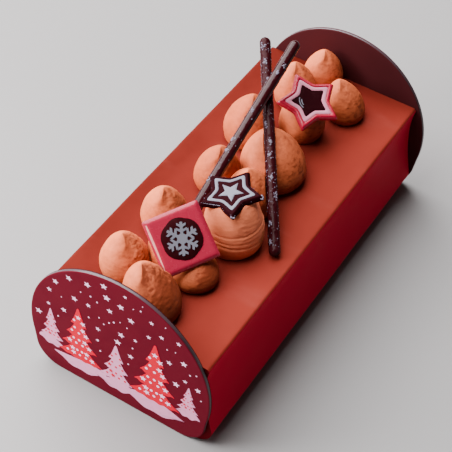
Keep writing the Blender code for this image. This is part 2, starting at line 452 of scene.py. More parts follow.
@dataclass(frozen=True)
class Chocolate:
    """Snappy moulded chocolate: glossy, with tiny pinholes and a little pale bloom."""

    name: str
    colour: Colour
    bloom: Colour
    bloom_share: float = 0.1
    roughness: float = 0.3
    gloss: float = 0.4

    def make(self) -> bpy.types.Material:
        """Build the material.

        Returns:
            The material.
        """
        recipe = Recipe(self.name)
        haze = recipe.noise(3.0, 4.0).step(0.5, 0.8)
        pinholes = recipe.specks(1.1, 0.13)
        grain = recipe.noise(0.5, 2.0)
        share = haze * self.bloom_share + pinholes * (2 * self.bloom_share)
        return recipe.finish(
            Base_Color=recipe.mix(share, self.colour, self.bloom),
            Roughness=self.roughness + 0.15 * haze,
            Normal=recipe.bump(grain - pinholes, 0.02),
            Specular_IOR_Level=self.gloss,
        )


@dataclass(frozen=True)
class Ink:
    """Matt print or cocoa butter colour, slightly uneven; also used for painted highlights and reflections.
    """

    name: str
    colour: Colour
    thin: Colour
    roughness: float = 0.5

    def make(self) -> bpy.types.Material:
        """Build the material.

        Returns:
            The material.
        """
        recipe = Recipe(self.name)
        patch = recipe.noise(2.5, 3.0).step(0.45, 0.8)
        grain = recipe.noise(0.4, 1.0)
        return recipe.finish(
            Base_Color=recipe.mix(patch * 0.7, self.colour, self.thin),
            Roughness=self.roughness + 0.1 * patch,
            Normal=recipe.bump(grain, 0.01),
            Specular_IOR_Level=0.04,
        )


@dataclass(frozen=True)
class StudioFloor:
    """Plain pale floor."""

    colour: Colour = (0.26, 0.25, 0.25)

    def make(self) -> bpy.types.Material:
        """Build the material.

        Returns:
            The material.
        """
        recipe = Recipe("studio_floor")
        patch = recipe.noise(180.0, 2.0)
        shade = tuple(0.97 * part for part in self.colour)
        return recipe.finish(
            Base_Color=recipe.mix(patch, self.colour, shade),
            Roughness=0.7 + 0.1 * patch,
            Specular_IOR_Level=0.1,
        )


class Paint(Enum):
    """The finishes of the cake's pieces."""

    GLAZE = CocoaVelvet()
    CREAM = PipedCream()
    # Three lit and shaded copies of the cream, for painted light and shade: the first darkens its +X-facing
    # sides further, the second has a darker lit side, and the third is lighter on its +X-facing sides,
    # where a shadow falls on it.
    DARK_CREAM = PipedCream("dark_cream", turn_start=-0.05, turn_end=0.6, painted_shade_share=0.95)
    WARM_CREAM = PipedCream("warm_cream", light=(0.50, 0.098, 0.034))
    PALE_CREAM = PipedCream("pale_cream", light=(0.50, 0.115, 0.050), deep=(0.74, 0.185, 0.088))
    BURGUNDY = Lacquer(
        "burgundy_lacquer", (0.102, 0.0045, 0.0125), (0.087, 0.0045, 0.012), (0.052, 0.010, 0.012)
    )
    RIM_LINE = Lacquer(
        "rim_line", (0.06, 0.034, 0.042), (0.03, 0.015, 0.02), (0.04, 0.025, 0.03),
        roughness=0.28, gloss=0.35,
    )
    WHITE_INK = Ink("white_ink", (0.95, 0.56, 0.76), (0.8, 0.44, 0.62))
    LILAC_INK = Ink("lilac_ink", (0.72, 0.29, 0.46), (0.64, 0.23, 0.39))
    CORAL_INK = Ink("coral_ink", (0.60, 0.002, 0.026), (0.53, 0.002, 0.021))
    STICK = Chocolate("stick_chocolate", (0.022, 0.002, 0.0034), (0.2, 0.1, 0.12), 0.03, 0.24, 0.06)
    GLOSSY_STICK = Chocolate("glossy_stick", (0.022, 0.002, 0.0034), (0.2, 0.1, 0.12), 0.05, 0.13, 0.17)
    DARK = Chocolate("dark_chocolate", (0.013, 0.001, 0.0022), (0.1, 0.03, 0.04), 0.04, 0.5, 0.01)
    RED = Chocolate("red_chocolate", (0.32, 0.003, 0.025), (0.4, 0.02, 0.06), 0.05, 0.24, 0.3)
    PINK = Chocolate("pink_chocolate", (0.31, 0.012, 0.036), (0.40, 0.03, 0.058), 0.12, 0.26, 0.25)
    PINK_BUTTER = Ink("pink_butter", (0.50, 0.19, 0.26), (0.42, 0.14, 0.21), 0.3)
    GREY_BUTTER = Ink("grey_butter", (0.15, 0.145, 0.18), (0.12, 0.115, 0.145), 0.35)
    # Pale flecks: painted highlights on the dark star's tips and left edge, and the sugar specks on the
    # sticks.
    FROST = Ink("frost", (0.15, 0.13, 0.17), (0.10, 0.08, 0.11), 0.5)
    # Painted highlight colour, for the pale strip on the plaque's left bevel.
    RUBBED_BUTTER = Ink("rubbed_butter", (0.66, 0.25, 0.23), (0.50, 0.12, 0.13), 0.3)
    BROWN_BUTTER = Ink("brown_butter", (0.02, 0.002, 0.0032), (0.026, 0.003, 0.0045), 0.35)

    @cache
    def material(self) -> bpy.types.Material:
        """The finish's material, made at its first use."""
        return self.value.make()


# Shapes


def smooth_step(value: np.ndarray, low: float, high: float) -> np.ndarray:
    """A smooth rise from 0 to 1.

    Args:
        value: The values that rise.
        low: Where the rise starts.
        high: Where it ends.

    Returns:
        How far each has risen.
    """
    share = np.clip((value - low) / (high - low), 0.0, 1.0)
    return share * share * (3 - 2 * share)


def soft_limit(value: np.ndarray, limit: "np.ndarray | float", softness: float) -> np.ndarray:
    """Hold values below a limit, easing into it.

    Args:
        value: The values.
        limit: The most that each may reach.
        softness: How far below the limit the easing starts.

    Returns:
        The held values.
    """
    over = np.maximum(value - limit + softness, 0.0)
    return np.where(over > 0, limit - softness * np.exp(-over / softness), value)


def unevenness(points: np.ndarray, size: float, seed: float, layers: int = 3) -> np.ndarray:
    """Smooth noise of about -1 to 1.

    Args:
        points: Points in millimetres, one a row.
        size: Rough size of its patches in millimetres.
        seed: Which part of the noise is used.
        layers: How many finer layers it has.

    Returns:
        One value a point.
    """
    shift = NOISE_SHIFT * seed
    values = [noise.fractal(Vector(p) / size + shift, NOISE_FALL, NOISE_STEP, layers) for p in points]
    return np.array(values)


def mesh_from(name: str, points: np.ndarray, faces: list[list[int]], crease: float) -> bpy.types.Mesh:
    """A closed mesh with its faces pointing out.

    Args:
        name: The mesh's name.
        points: Its points in millimetres, one a row.
        faces: The corners of each face.
        crease: Edges sharper than this many degrees stay sharp.

    Returns:
        The mesh, in metres.
    """
    mesh = bpy.data.meshes.new(name)
    mesh.from_pydata((points * MM).tolist(), [], faces)
    shape = bmesh.new()
    shape.from_mesh(mesh)
    bmesh.ops.recalc_face_normals(shape, faces=shape.faces[:])
    shape.to_mesh(mesh)
    shape.free()
    mesh.shade_smooth()
    mesh.set_sharp_from_angle(angle=math.radians(crease))
    return mesh


def lofted(name: str, rings: np.ndarray, crease: float = 50.0, ring_shut: bool = False) -> bpy.types.Mesh:
    """A closed mesh through rings of points.

    Args:
        name: The mesh's name.
        rings: Points by ring, place in the ring and axis, in millimetres.
        crease: Edges sharper than this many degrees stay sharp.
        ring_shut: True joins the last ring to the first; False closes both ends with a fan.

    Returns:
        The mesh, in metres.
    """
    count, around = rings.shape[:2]
    points = rings.reshape(-1, 3)
    faces = []
    for ring in range(count if ring_shut else count - 1):
        upper = (ring + 1) % count
        for place in range(around):
            beside = (place + 1) % around
            here, above = ring * around, upper * around
            faces.append([here + place, here + beside, above + beside, above + place])
    if not ring_shut:
        for ring in (0, count - 1):
            hub = len(points)
            points = np.vstack([points, rings[ring].mean(axis=0)])
            faces += [[ring * around + p, ring * around + (p + 1) % around, hub] for p in range(around)]
    return mesh_from(name, points, faces, crease)


def slabs(name: str, outlines: Iterable[Outline], low: float, high: float) -> bpy.types.Mesh:
    """Flat pieces in XZ, all in one mesh.

    Args:
        name: The mesh's name.
        outlines: The outline of each piece as X and Z, in millimetres.
        low: Y of the one face in millimetres.
        high: Y of the other face in millimetres.

    Returns:
        The mesh, in metres.
    """
    points: list[Point] = []
    faces: list[list[int]] = []
    for outline in outlines:
        first = len(points)
        count = len(outline)
        points += [(x, low, z) for x, z in outline] + [(x, high, z) for x, z in outline]
        faces.append([first + n for n in range(count)])
        faces.append([first + count + n for n in reversed(range(count))])
        for n in range(count):
            after = (n + 1) % count
            faces.append([first + n, first + count + n, first + count + after, first + after])
    return mesh_from(name, np.array(points), faces, CREASE_FINE)


def put(
    name: str, mesh: bpy.types.Mesh, paint: Paint, node: str, pose: Matrix | None = None
) -> bpy.types.Object:
    """Add a piece that stands for a node of the frame and moves with it.

    Args:
        name: The piece's name.
        mesh: Its mesh in metres.
        paint: Its finish.
        node: The node that it replaces.
        pose: Where it lies; None leaves its mesh where it is.

    Returns:
        The piece.
    """
    mesh.materials.append(paint.material())
    piece = bpy.data.objects.new(name, mesh)
    bpy.context.scene.collection.objects.link(piece)
    if pose is not None:
        piece.matrix_world = pose
    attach(piece, "root")
    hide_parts(node)
    log.info("%s: %d faces", name, len(mesh.polygons))
    return piece


def arc(centre: tuple[float, float], radius: float, start: float, end: float, steps: int) -> Outline:
    """Points on a circular arc.

    Args:
        centre: The arc's centre.
        radius: Its radius.
        start: Its first angle in degrees.
        end: Its last angle in degrees.
        steps: How many steps it has.

    Returns:
        The points.
    """
    angles = np.radians(np.linspace(start, end, steps + 1))
    return [(centre[0] + radius * math.cos(a), centre[1] + radius * math.sin(a)) for a in angles]


def mirrored(right: Outline) -> Outline:
    """A closed outline from its right half, given from the foot to the top."""
    return right + [(-x, z) for x, z in reversed(right) if x > TINY]


def spaced(outline: Outline, count: int) -> np.ndarray:
    """An outline again, with its points evenly spaced.

    Args:
        outline: The closed outline.
        count: How many points it gets.

    Returns:
        The points, one a row.
    """
    loop = np.array(outline + outline[:1])
    lengths = np.concatenate([[0.0], np.cumsum(np.linalg.norm(np.diff(loop, axis=0), axis=1))])
    stations = np.linspace(0.0, lengths[-1], count, endpoint=False)
    return np.column_stack([np.interp(stations, lengths, loop[:, axis]) for axis in (0, 1)])


def rounded(points: np.ndarray, reach: int) -> np.ndarray:
    """An outline with its corners rounded by averaging each point with its neighbours."""
    shifts = range(-reach, reach + 1)
    return np.mean([np.roll(points, shift, axis=0) for shift in shifts], axis=0)


# The cake


@dataclass
class CakeBody:
    """The mousse log: rounded feet, a slight waist, soft top edges and a sprayed skin."""

    length: float = 199.4
    height: float = 53.6
    top_half: float = 43.2
    waist_half: float = 41.8
    foot_half: float = 46.8
    waist_level: float = 41.0
    edge_radius: float = 1.6
    foot_radius: float = 9.5
    flank_power: float = 1.7
    sections: int = 260
    wave: float = 0.09
    ripple: float = 0.03
    skin_depth: float = 0.08
    foot_fade: float = 6.0
    end_fade: float = 3.0
    wave_size: float = 30.0
    ripple_size: float = 5.0
    base_half: float = 37.0
    base_points: int = 12
    foot_steps: int = 14
    flank_points: int = 32
    edge_steps: int = 7
    top_points: int = 28
    crease: float = 40.0

    def outline(self) -> Outline:
        """Cross-section in X and Z.

        Returns:
            The closed outline.
        """
        foot_centre = (self.foot_half - self.foot_radius, self.foot_radius)
        foot = arc(foot_centre, self.foot_radius, -90, 0, self.foot_steps)
        corner = self.height - self.edge_radius
        flank = []
        for z in np.linspace(self.foot_radius, corner, self.flank_points)[1:-1]:
            if z < self.waist_level:
                share = (self.waist_level - z) / (self.waist_level - self.foot_radius)
                bulge = self.foot_half - self.waist_half
            else:
                share = (z - self.waist_level) / (corner - self.waist_level)
                bulge = self.top_half - self.waist_half
            flank.append((self.waist_half + bulge * share**self.flank_power, z))
        flat_half = self.top_half - self.edge_radius
        edge = arc((flat_half, corner), self.edge_radius, 0, 90, self.edge_steps)
        top = [(x, self.height) for x in np.linspace(flat_half, 0, self.top_points)[1:]]
        base = [(x, 0.0) for x in np.linspace(0, self.base_half, self.base_points)]
        return mirrored(base + foot[1:] + flank + edge + top)

    def mesh(self) -> bpy.types.Mesh:
        """The skin, slightly wavy and with softly uneven edges.

        Returns:
            The cake's mesh.
        """
        section = np.array(self.outline())
        stations = np.linspace(-self.length / 2, self.length / 2, self.sections)
        rings = np.empty((len(stations), len(section), 3))
        rings[:, :, 0] = section[:, 0]
        rings[:, :, 1] = stations[:, None]
        rings[:, :, 2] = section[:, 1]
        points = rings.reshape(-1, 3)
        wave = self.wave * unevenness(points, self.wave_size, 1.0, 2)
        wave += self.ripple * unevenness(points, self.ripple_size, 2.0, 2)
        away = points * (1.0, 0.0, 1.0) - (0.0, 0.0, self.height / 2)
        away /= np.maximum(np.linalg.norm(away, axis=1), 1.0)[:, None]
        from_end = self.length / 2 - abs(points[:, 1])
        inner = smooth_step(points[:, 2], 0.0, self.foot_fade) * smooth_step(from_end, 0.0, self.end_fade)
        points += away * ((wave - self.skin_depth) * inner)[:, None]
        return lofted("cake_skin", rings, self.crease)

    def build(self) -> None:
        """Add the cake."""
        put("cake_skin", self.mesh(), Paint.GLAZE, "cake_body")


# End panels


@dataclass
class EndPanel:
    """An upright arched panel: lacquered slab, pale rim line and print on its outer face."""

    side: Side
    height: float = 81.6
    half_width: float = 47.95
    thickness: float = 2.22
    arch_level: float = 30.0
    foot_radius: float = 13.0
    foot_half: float = 46.0
    arch_start: float = -12.0
    shift: float = 2.0
    inner: float = PANEL_INNER
    foot_end: float = -6.0
    foot_steps: int = 16
    arch_points: int = 60
    around: int = 360
    edge: tuple[tuple[float, float], ...] = (
        (0.9, 0.0), (0.35, 0.03), (0.12, 0.12), (0.03, 0.26), (0.4, 0.34),
    )
    rim_rise: float = 0.35
    rim_half: float = 0.84
    rim_root: float = 0.55
    rim_points: int = 9

    def outline(self, inset: float = 0.0) -> np.ndarray:
        """Outline of the panel in X and Z.

        Args:
            inset: How far it is drawn in.

        Returns:
            Its points, evenly spaced.
        """
        corner = (self.foot_half - self.foot_radius, self.foot_radius)
        foot = arc(corner, self.foot_radius - inset, -90, self.foot_end, self.foot_steps)
        angles = np.radians(np.linspace(self.arch_start, 90, self.arch_points))
        arch = [
            (
                (self.half_width - inset) * math.cos(a),
                self.arch_level + (self.height - self.arch_level - inset) * math.sin(a),
            )
            for a in angles[:-1]
        ]
        return spaced(mirrored([(0.0, inset), *foot, *arch, (0.0, self.height - inset)]), self.around)

    def ring(self, inset: float, depth: float) -> np.ndarray:
        """One ring of the slab.

        Args:
            inset: How far the outline is drawn in.
            depth: Distance from the inner face, outward along the cake.

        Returns:
            The ring's points.
        """
        flat = self.outline(inset)
        y = np.full(len(flat), self.side.value * (self.inner + depth))
        return np.column_stack([flat[:, 0] + self.side.value * self.shift, y, flat[:, 1]])

    def slab(self) -> bpy.types.Mesh:
        """The panel itself, with rounded rims and a groove for the rim line.

        Returns:
            The slab's mesh.
        """
        far = [(inset, self.thickness - depth) for inset, depth in reversed(self.edge)]
        rings = np.array([self.ring(inset, depth) for inset, depth in (*self.edge, *far)])
        return lofted("slab", rings, CREASE_FINE)

    def rim(self) -> bpy.types.Mesh:
        """The pale line that runs round the edge.

        Returns:
            The rim's mesh.
        """
        middle, rise, half = self.thickness / 2, self.rim_rise, self.rim_half
        angles = np.linspace(0, math.pi, self.rim_points)
        dome = [(rise - rise * math.sin(a), middle - half * math.cos(a)) for a in angles]
        profile = [(self.rim_root, middle - half), *dome, (self.rim_root, middle + half)]
        rings = np.array([self.ring(inset, depth) for inset, depth in profile])
        return lofted("rim", rings, 50.0, ring_shut=True)

    def build(self) -> None:
        """Add the panel, its rim and its print."""
        name = f"panel_{self.side.name.lower()}"
        put(f"{name}_slab", self.slab(), Paint.BURGUNDY, name)
        put(f"{name}_rim", self.rim(), Paint.RIM_LINE, name)
        PanelPrint(self).build(name)


def star_outline(x: float, z: float, reach: float, notch: float, turn: float) -> Outline:
    """A five-pointed star.

    Args:
        x: Its centre's X.
        z: Its centre's Z.
        reach: Distance from the centre to a tip.
        notch: Distance to a notch, as a share of the reach.
        turn: How far it is turned, in degrees.

    Returns:
        Its outline.
    """
    outline = []
    for corner in range(10):
        angle = math.radians(90 + turn + 36 * corner)
        radius = reach * (1.0 if corner % 2 == 0 else notch)
        outline.append((x + radius * math.cos(angle), z + radius * math.sin(angle)))
    return outline


@dataclass(frozen=True)
class Fir:
    """A printed fir tree: scalloped tiers on a snow drift, strewn with small lights."""

    x: float
    foot: float
    height: float
    half_width: float
    tiers: int
    pale: bool
    overlap: float = 0.75
    top_share: float = 0.55
    taper: float = 0.6
    scallops: int = 5
    top_scallops: int = 3
    hem_points: int = 31
    tier_points: int = 90
    hem_rise: float = 0.16
    hem_wave: float = 0.07
    flare: tuple[tuple[float, float], ...] = ((0.62, 0.42), (0.34, 0.82), (0.1, 1.22))
    light_levels: tuple[float, ...] = (0.34, 0.62)
    light_spread: float = 0.52
    light_taper: float = 0.22
    light_star: float = 0.15
    light_dot: float = 0.065
    drift_reach: float = 1.12
    drift_lift: float = 0.6
    drift_wave: float = 1.3
    drift_sag: float = 2.6
    drift_thickness: float = 3.0
    drift_belly: float = 0.42
    drift_points: int = 25
    cover_reach: float = 1.15
    cover_below: float = 8.0

    def place(self, index: int) -> tuple[float, float, float]:
        """Where one tier is.

        Args:
            index: Which tier, counted from the bottom.

        Returns:
            Its foot level, its height and its half width.
        """
        step = self.height / (self.overlap * self.tiers + self.top_share)
        half = self.half_width * (1 - index / (self.tiers + self.taper))
        return self.foot + self.overlap * step * index, step, half

    def tier(self, index: int) -> Outline:
        """Outline of one tier.

        Args:
            index: Which tier, counted from the bottom.

        Returns:
            The closed outline.
        """
        low, step, half = self.place(index)
        scallops = self.scallops if index < self.tiers - 1 else self.top_scallops
        hem = []
        for p in np.linspace(-1, 1, self.hem_points):
            wave = self.hem_wave * math.cos(p * math.pi * scallops)
            hem.append((self.x + half * p, low + step * (self.hem_rise * p**2 + wave)))
        right = [(self.x + half * part, low + step * rise) for part, rise in self.flare]
        left = [(self.x - half * part, low + step * rise) for part, rise in reversed(self.flare)]
        return [tuple(point) for point in rounded(spaced(hem + right + left, self.tier_points), 2)]

    def lights(self) -> list[Outline]:
        """Small stars and dots strewn over the tiers.

        Returns:
            The outline of each.
        """
        found = []
        for index in range(self.tiers):
            low, step, half = self.place(index)
            for row, level in enumerate(self.light_levels):
                count = max(1, self.tiers - index + 1 - row)
                spread = self.light_spread - self.light_taper * row
                places = np.linspace(-spread, spread, count) if count > 1 else (0.0,)
                for order, place in enumerate(places):
                    x, z = self.x + half * place, low + step * level
                    if (order + row + index) % 3 == 1:
                        size = self.light_star * step
                        found.append(star_outline(x, z, size, PRINT_STAR_NOTCH, 25.0 * order))
                    else:
                        found.append(arc((x, z), self.light_dot * step, 0, 330, 11))
        return found

    def drift(self) -> Outline:
        """Outline of the snow drift that the tree stands on.

        Returns:
            The closed outline.
        """
        half, level = self.drift_reach * self.half_width, self.foot + self.drift_lift
        depth = self.drift_belly * self.half_width
        ridge: Outline = []
        for p in np.linspace(1, -1, self.drift_points):
            wave = self.drift_wave * math.cos(2.2 * p + self.x)
            ridge.append((self.x + half * p, level + wave - self.drift_sag * p**2))
        base: Outline = []
        for p in np.linspace(-1, 1, self.drift_points):
            wave = 0.5 * math.cos(9 * p)
            base.append((self.x + half * p, level - self.drift_thickness - depth * (1 - p**2) + wave))
        return ridge + base

    def covers(self, x: float, z: float, margin: float) -> bool:
        """Whether a point is on the tree or nearer to it than the margin.

        Args:
            x: The point's X.
            z: The point's Z.
            margin: The margin in millimetres.

        Returns:
            True where it is.
        """
        share = min(max((z - self.foot) / self.height, 0.0), 1.0)
        near = abs(x - self.x) < self.half_width * (self.cover_reach - share) + margin
        return near and self.foot - self.cover_below - margin < z < self.foot + self.height + margin


@dataclass
class PanelPrint:
    """A winter design: firs on snow drifts under a sky of small stars and dots."""

    panel: EndPanel
    ink: float = 0.12
    firs: tuple[Fir, ...] = (
        Fir(-36.5, 20.0, 22.0, 6.6, 3, True),
        Fir(-21.0, 14.5, 38.0, 13.0, 4, False),
        Fir(-1.0, 13.5, 27.0, 9.4, 3, True),
        Fir(19.5, 14.0, 42.0, 14.5, 4, False),
        Fir(37.2, 20.5, 18.0, 5.8, 3, True),
    )
    stars: int = 30
    dots: int = 44
    star_spacing: float = 6.4
    dot_spacing: float = 3.2
    star_sizes: tuple[float, float] = (0.95, 2.0)
    dot_sizes: tuple[float, float] = (0.28, 0.5)
    star_tilt: float = 20.0
    sky_x: tuple[float, float] = (-46.0, 46.0)
    sky_z: tuple[float, float] = (13.0, 79.0)
    edge_margin: float = 3.0
    fir_margin: float = 1.6
    tries: int = 60
    flank_margin: float = 1.5
    foot_margin: float = 12.0
    layer_rise: float = 0.12
    sky_layer: float = 1.0
    drift_layer: float = 2.0
    drift_rise: float = 0.2
    tier_layer: float = 3.0
    light_layer: float = 8.0
    seed: int = 11

    def inside(self, x: float, z: float, margin: float) -> bool:
        """Whether a point is on the panel, well within its edge.

        Args:
            x: The point's X.
            z: The point's Z.
            margin: Least distance from the edge in millimetres.

        Returns:
            True where it is.
        """
        if z < self.panel.arch_level:
            side = self.panel.half_width - margin - self.flank_margin
            return abs(x) < side and z > self.foot_margin
        rise = (z - self.panel.arch_level) / (self.panel.height - self.panel.arch_level - margin)
        return rise < 1 and abs(x) < (self.panel.half_width - margin) * math.sqrt(1 - rise * rise)

    def scatter(
        self, count: int, spacing: float, taken: list[Spot], draw: np.random.Generator
    ) -> list[Spot]:
        """Free places in the sky.

        Args:
            count: How many are wanted.
            spacing: Least distance to what is there.
            taken: Places in use, as X, Z and spacing; the new ones are added.
            draw: The seeded random source.

        Returns:
            The new places.
        """
        found: list[Spot] = []
        for _ in range(count * self.tries):
            if len(found) == count:
                break
            x, z = draw.uniform(*self.sky_x), draw.uniform(*self.sky_z)
            if not self.inside(x, z, self.edge_margin):
                continue
            if any(fir.covers(x, z, self.fir_margin) for fir in self.firs):
                continue
            if any(math.hypot(x - a, z - b) < max(spacing, gap) for a, b, gap in taken):
                continue
            found.append((x, z, spacing))
            taken.append((x, z, spacing))
        return found

    def build(self, name: str) -> None:
        """Add the print on the panel's outer face.

        Args:
            name: The panel's name.
        """
        draw = np.random.default_rng(self.seed + self.panel.side.value)
        taken: list[Spot] = []
        sky = []
        for x, z, _ in self.scatter(self.stars, self.star_spacing, taken, draw):
            size, turn = draw.uniform(*self.star_sizes), draw.uniform(-self.star_tilt, self.star_tilt)
            sky.append(star_outline(x, z, size, PRINT_STAR_NOTCH, turn))
        for x, z, _ in self.scatter(self.dots, self.dot_spacing, taken, draw):
            sky.append(arc((x, z), draw.uniform(*self.dot_sizes), 0, 315, 7))
        self.add(f"{name}_sky", name, sky, Paint.WHITE_INK, self.sky_layer)
        for order, fir in enumerate(self.firs):
            layer = self.drift_layer + self.drift_rise * order
            self.add(f"{name}_drift_{order + 1}", name, [fir.drift()], Paint.LILAC_INK, layer)
        for pale in (False, True):
            label = "pale_fir" if pale else "coral_fir"
            leaf = Paint.LILAC_INK if pale else Paint.CORAL_INK
            trim = Paint.CORAL_INK if pale else Paint.WHITE_INK
            group = [fir for fir in self.firs if fir.pale is pale]
            for index in range(group[0].tiers):
                tiers = [fir.tier(index) for fir in group]
                layer = self.tier_layer + index
                self.add(f"{name}_{label}_tier_{index + 1}", name, tiers, leaf, layer)
            lights = [light for fir in group for light in fir.lights()]
            self.add(f"{name}_{label}_lights", name, lights, trim, self.light_layer)

    def add(
        self, name: str, node: str, outlines: list[Outline], ink: Paint, layer: float
    ) -> None:
        """Add one layer of the print.

        Args:
            name: The piece's name.
            node: The panel that carries it.
            outlines: Its shapes, in the panel's own X and Z.
            ink: Its ink.
            layer: Which layer it is; a higher one stands further out.
        """
        side = self.panel.side.value
        face = self.panel.inner + self.panel.thickness
        placed = [[(side * (self.panel.shift - x), z) for x, z in outline] for outline in outlines]
        high = side * (face + self.ink * (0.5 + self.layer_rise * layer))
        mesh = slabs(name, placed, side * (face - self.ink), high)
        put(name, mesh, ink, node)


# Toppings


def facing_pose(centre: Point, facing: tuple[float, float], turn: float) -> Matrix:
    """The place of a flat topping.

    Args:
        centre: Middle of its underside, above the cake top, in millimetres.
        facing: X and Y of its upward direction for a Z of 1.
        turn: How far it is turned about that direction, in degrees.

    Returns:
        Its matrix in metres.
    """
    upward = Vector((facing[0], facing[1], 1)).normalized()
    right = (Vector((1, 0, 0)) - upward * upward.x).normalized()
    turned = Matrix((right, upward.cross(right), upward)).transposed().to_4x4()
    middle = (Vector(centre) + Vector((0, 0, CAKE_TOP))) * MM
    return Matrix.Translation(middle) @ turned @ Matrix.Rotation(math.radians(turn), 4, "Z")


@dataclass
class FlatTopping:
    """A flat piece that lies on the cream."""

    centre: Point
    facing: tuple[float, float]
    turn: float
    give: float = 8.0

    def pose(self) -> Matrix:
        """Its matrix in metres."""
        return facing_pose(self.centre, self.facing, self.turn)

    def beyond(self, x: np.ndarray, y: np.ndarray) -> np.ndarray:
        """Distance outside the outline, in the piece's own X and Y; negative inside."""
        raise NotImplementedError

    def ceiling(self, points: np.ndarray) -> np.ndarray:
        """The height that cream may reach under and beside the piece.

        Args:
            points: Points in millimetres, one a row.

        Returns:
            A height in millimetres for each point.
        """
        slope = np.array(self.facing)
        offsets = points[:, :2] - np.array(self.centre[:2])
        under = CAKE_TOP + self.centre[2] - offsets @ slope
        on_plane = np.column_stack([points[:, :2], under, np.ones(len(points))])
        on_plane[:, :3] *= MM
        local = on_plane @ np.array(self.pose().inverted()).T / MM
        outside = np.maximum(self.beyond(local[:, 0], local[:, 1]), 0.0)
        return under - GAP + self.give * outside


@dataclass
class MouldedStar(FlatTopping):
    """A thin five-pointed chocolate star with soft edges and a shallow recess on top."""

    reach: float = 16.3
    thickness: float = 2.8
    notch: float = 0.61
    recess: float = 0.77
    depth: float = 0.3
    softness: float = 0.35
    wobble: float = 0.12
    wobble_size: float = 2.4
    lumps: float = 0.05
    lump_size: float = 3.0
    steps: int = 28
    sunk: float = 0.1
    band_soft: float = 0.012

    def edge_distance(self) -> float:
        """Distance from the centre to an edge's line."""
        x, y = self.notch * math.cos(math.pi / 5), self.notch * math.sin(math.pi / 5)
        return self.reach * y / math.hypot(1 - x, y)

    def beyond(self, x: np.ndarray, y: np.ndarray) -> np.ndarray:
        """Distance outside the star's outline; negative inside.

        Args:
            x: X of each point, in the star's own frame.
            y: Y of each point.

        Returns:
            A distance for each point.
        """
        sector = 2 * math.pi / 5
        angle = np.abs((np.arctan2(y, x) + sector / 2) % sector - sector / 2)
        radius = np.hypot(x, y)
        along, aside = self.notch * math.cos(sector / 2) - 1, self.notch * math.sin(sector / 2)
        edge = Vector((along, aside)).normalized()
        across = radius * np.cos(angle) * edge.y - radius * np.sin(angle) * edge.x
        return across - self.edge_distance()

    def flat(self, reach: float, notch: float, rounding: int) -> np.ndarray:
        """A star outline with its corners rounded.

        Args:
            reach: Distance to a tip.
            notch: Distance to a notch, as a share of the reach.
            rounding: How many neighbours each point is averaged with.

        Returns:
            The outline's points.
        """
        corners = np.array(star_outline(0.0, 0.0, reach, notch, -90.0))
        shares = np.linspace(0.0, 1.0, self.steps, endpoint=False)[None, :, None]
        edges = corners[:, None, :] + (np.roll(corners, -1, axis=0) - corners)[:, None, :] * shares
        return rounded(edges.reshape(-1, 2), rounding)

    def rings(self, outline: np.ndarray, profile: Iterable[tuple[float, float]]) -> np.ndarray:
        """Rings of an outline along a profile.

        Args:
            outline: The outline's points.
            profile: Scale and height of each ring.

        Returns:
            The rings' points.
        """
        return np.array(
            [np.column_stack([outline * scale, np.full(len(outline), z)]) for scale, z in profile]
        )

    def body(self) -> bpy.types.Mesh:
        """The star's body, with rounded edges round the recess.

        Returns:
            The body's mesh.
        """
        t, floor = self.thickness, self.thickness - self.depth
        profile = [(0.5, 0.0), (0.94, 0.0), (0.975, 0.1), (0.995, 0.4), (1.0, 0.8)]
        profile += [(0.985, 1.3), (0.955, t - 0.9), (0.92, t - 0.35), (0.89, t - 0.08), (0.865, t)]
        profile += [(self.recess + 0.03, t), (self.recess + 0.012, t - 0.06), (self.recess, floor)]
        profile += [(scale, floor) for scale in (0.6, 0.35, 0.15)]
        rings = self.rings(self.flat(self.reach + self.softness, self.notch, 3), profile)
        points = rings.reshape(-1, 3)
        points += self.lumps * unevenness(points, self.lump_size, 3.0)[:, None] * (1.0, 1.0, 0.4)
        return lofted("star_body", rings, CREASE_MOULDED)

    def band(self, outer: float, inner: float, high: float) -> bpy.types.Mesh:
        """A star-shaped band on the top.

        Args:
            outer: Its outer scale.
            inner: Its inner scale.
            high: The height of its upper face.

        Returns:
            Its mesh.
        """
        low = self.thickness - self.depth - self.sunk
        soft = self.band_soft
        profile = (
            (outer, low), (outer, high - 0.1), (outer - soft, high), (inner + soft, high),
            (inner, high - 0.1), (inner, low),
        )
        rings = self.rings(self.flat(self.reach, self.notch, 5), profile)
        points = rings.reshape(-1, 3)
        points[:, 0] += self.wobble * unevenness(points, self.wobble_size, 6.0, 2)
        points[:, 1] += self.wobble * unevenness(points, self.wobble_size, 7.0, 2)
        return lofted("band", rings, CREASE_MOULDED, ring_shut=True)

    def heart(self, reach: float, notch: float, high: float) -> bpy.types.Mesh:
        """A star-shaped tablet in the middle of the top.

        Args:
            reach: Distance to its tips.
            notch: Distance to its notches, as a share of the reach.
            high: The height of its upper face.

        Returns:
            Its mesh.
        """
        low = self.thickness - self.depth - self.sunk
        profile = ((0.4, low), (1.0, low), (1.0, high - 0.1), (0.96, high), (0.6, high), (0.25, high))
        return lofted("heart", self.rings(self.flat(reach, notch, 1), profile), CREASE_MOULDED)

    def blots(self, spots: Iterable[tuple[float, float, float, float]]) -> bpy.types.Mesh:
        """Pale flattened blots.

        Args:
            spots: Angle in degrees, distance as a share of the reach, height and size of each.

        Returns:
            Their mesh.
        """
        shape = bmesh.new()
        for angle, share, z, size in spots:
            turn = math.radians(angle)
            away = share * self.reach
            place = Vector((away * math.cos(turn), away * math.sin(turn), z)) * MM
            matrix = Matrix.Translation(place) @ Matrix.Diagonal((1.0, 1.0, 0.5, 1.0))
            bmesh.ops.create_icosphere(shape, subdivisions=2, radius=size * MM, matrix=matrix)
        mesh = bpy.data.meshes.new("blots")
        shape.to_mesh(mesh)
        shape.free()
        mesh.shade_smooth()
        return mesh


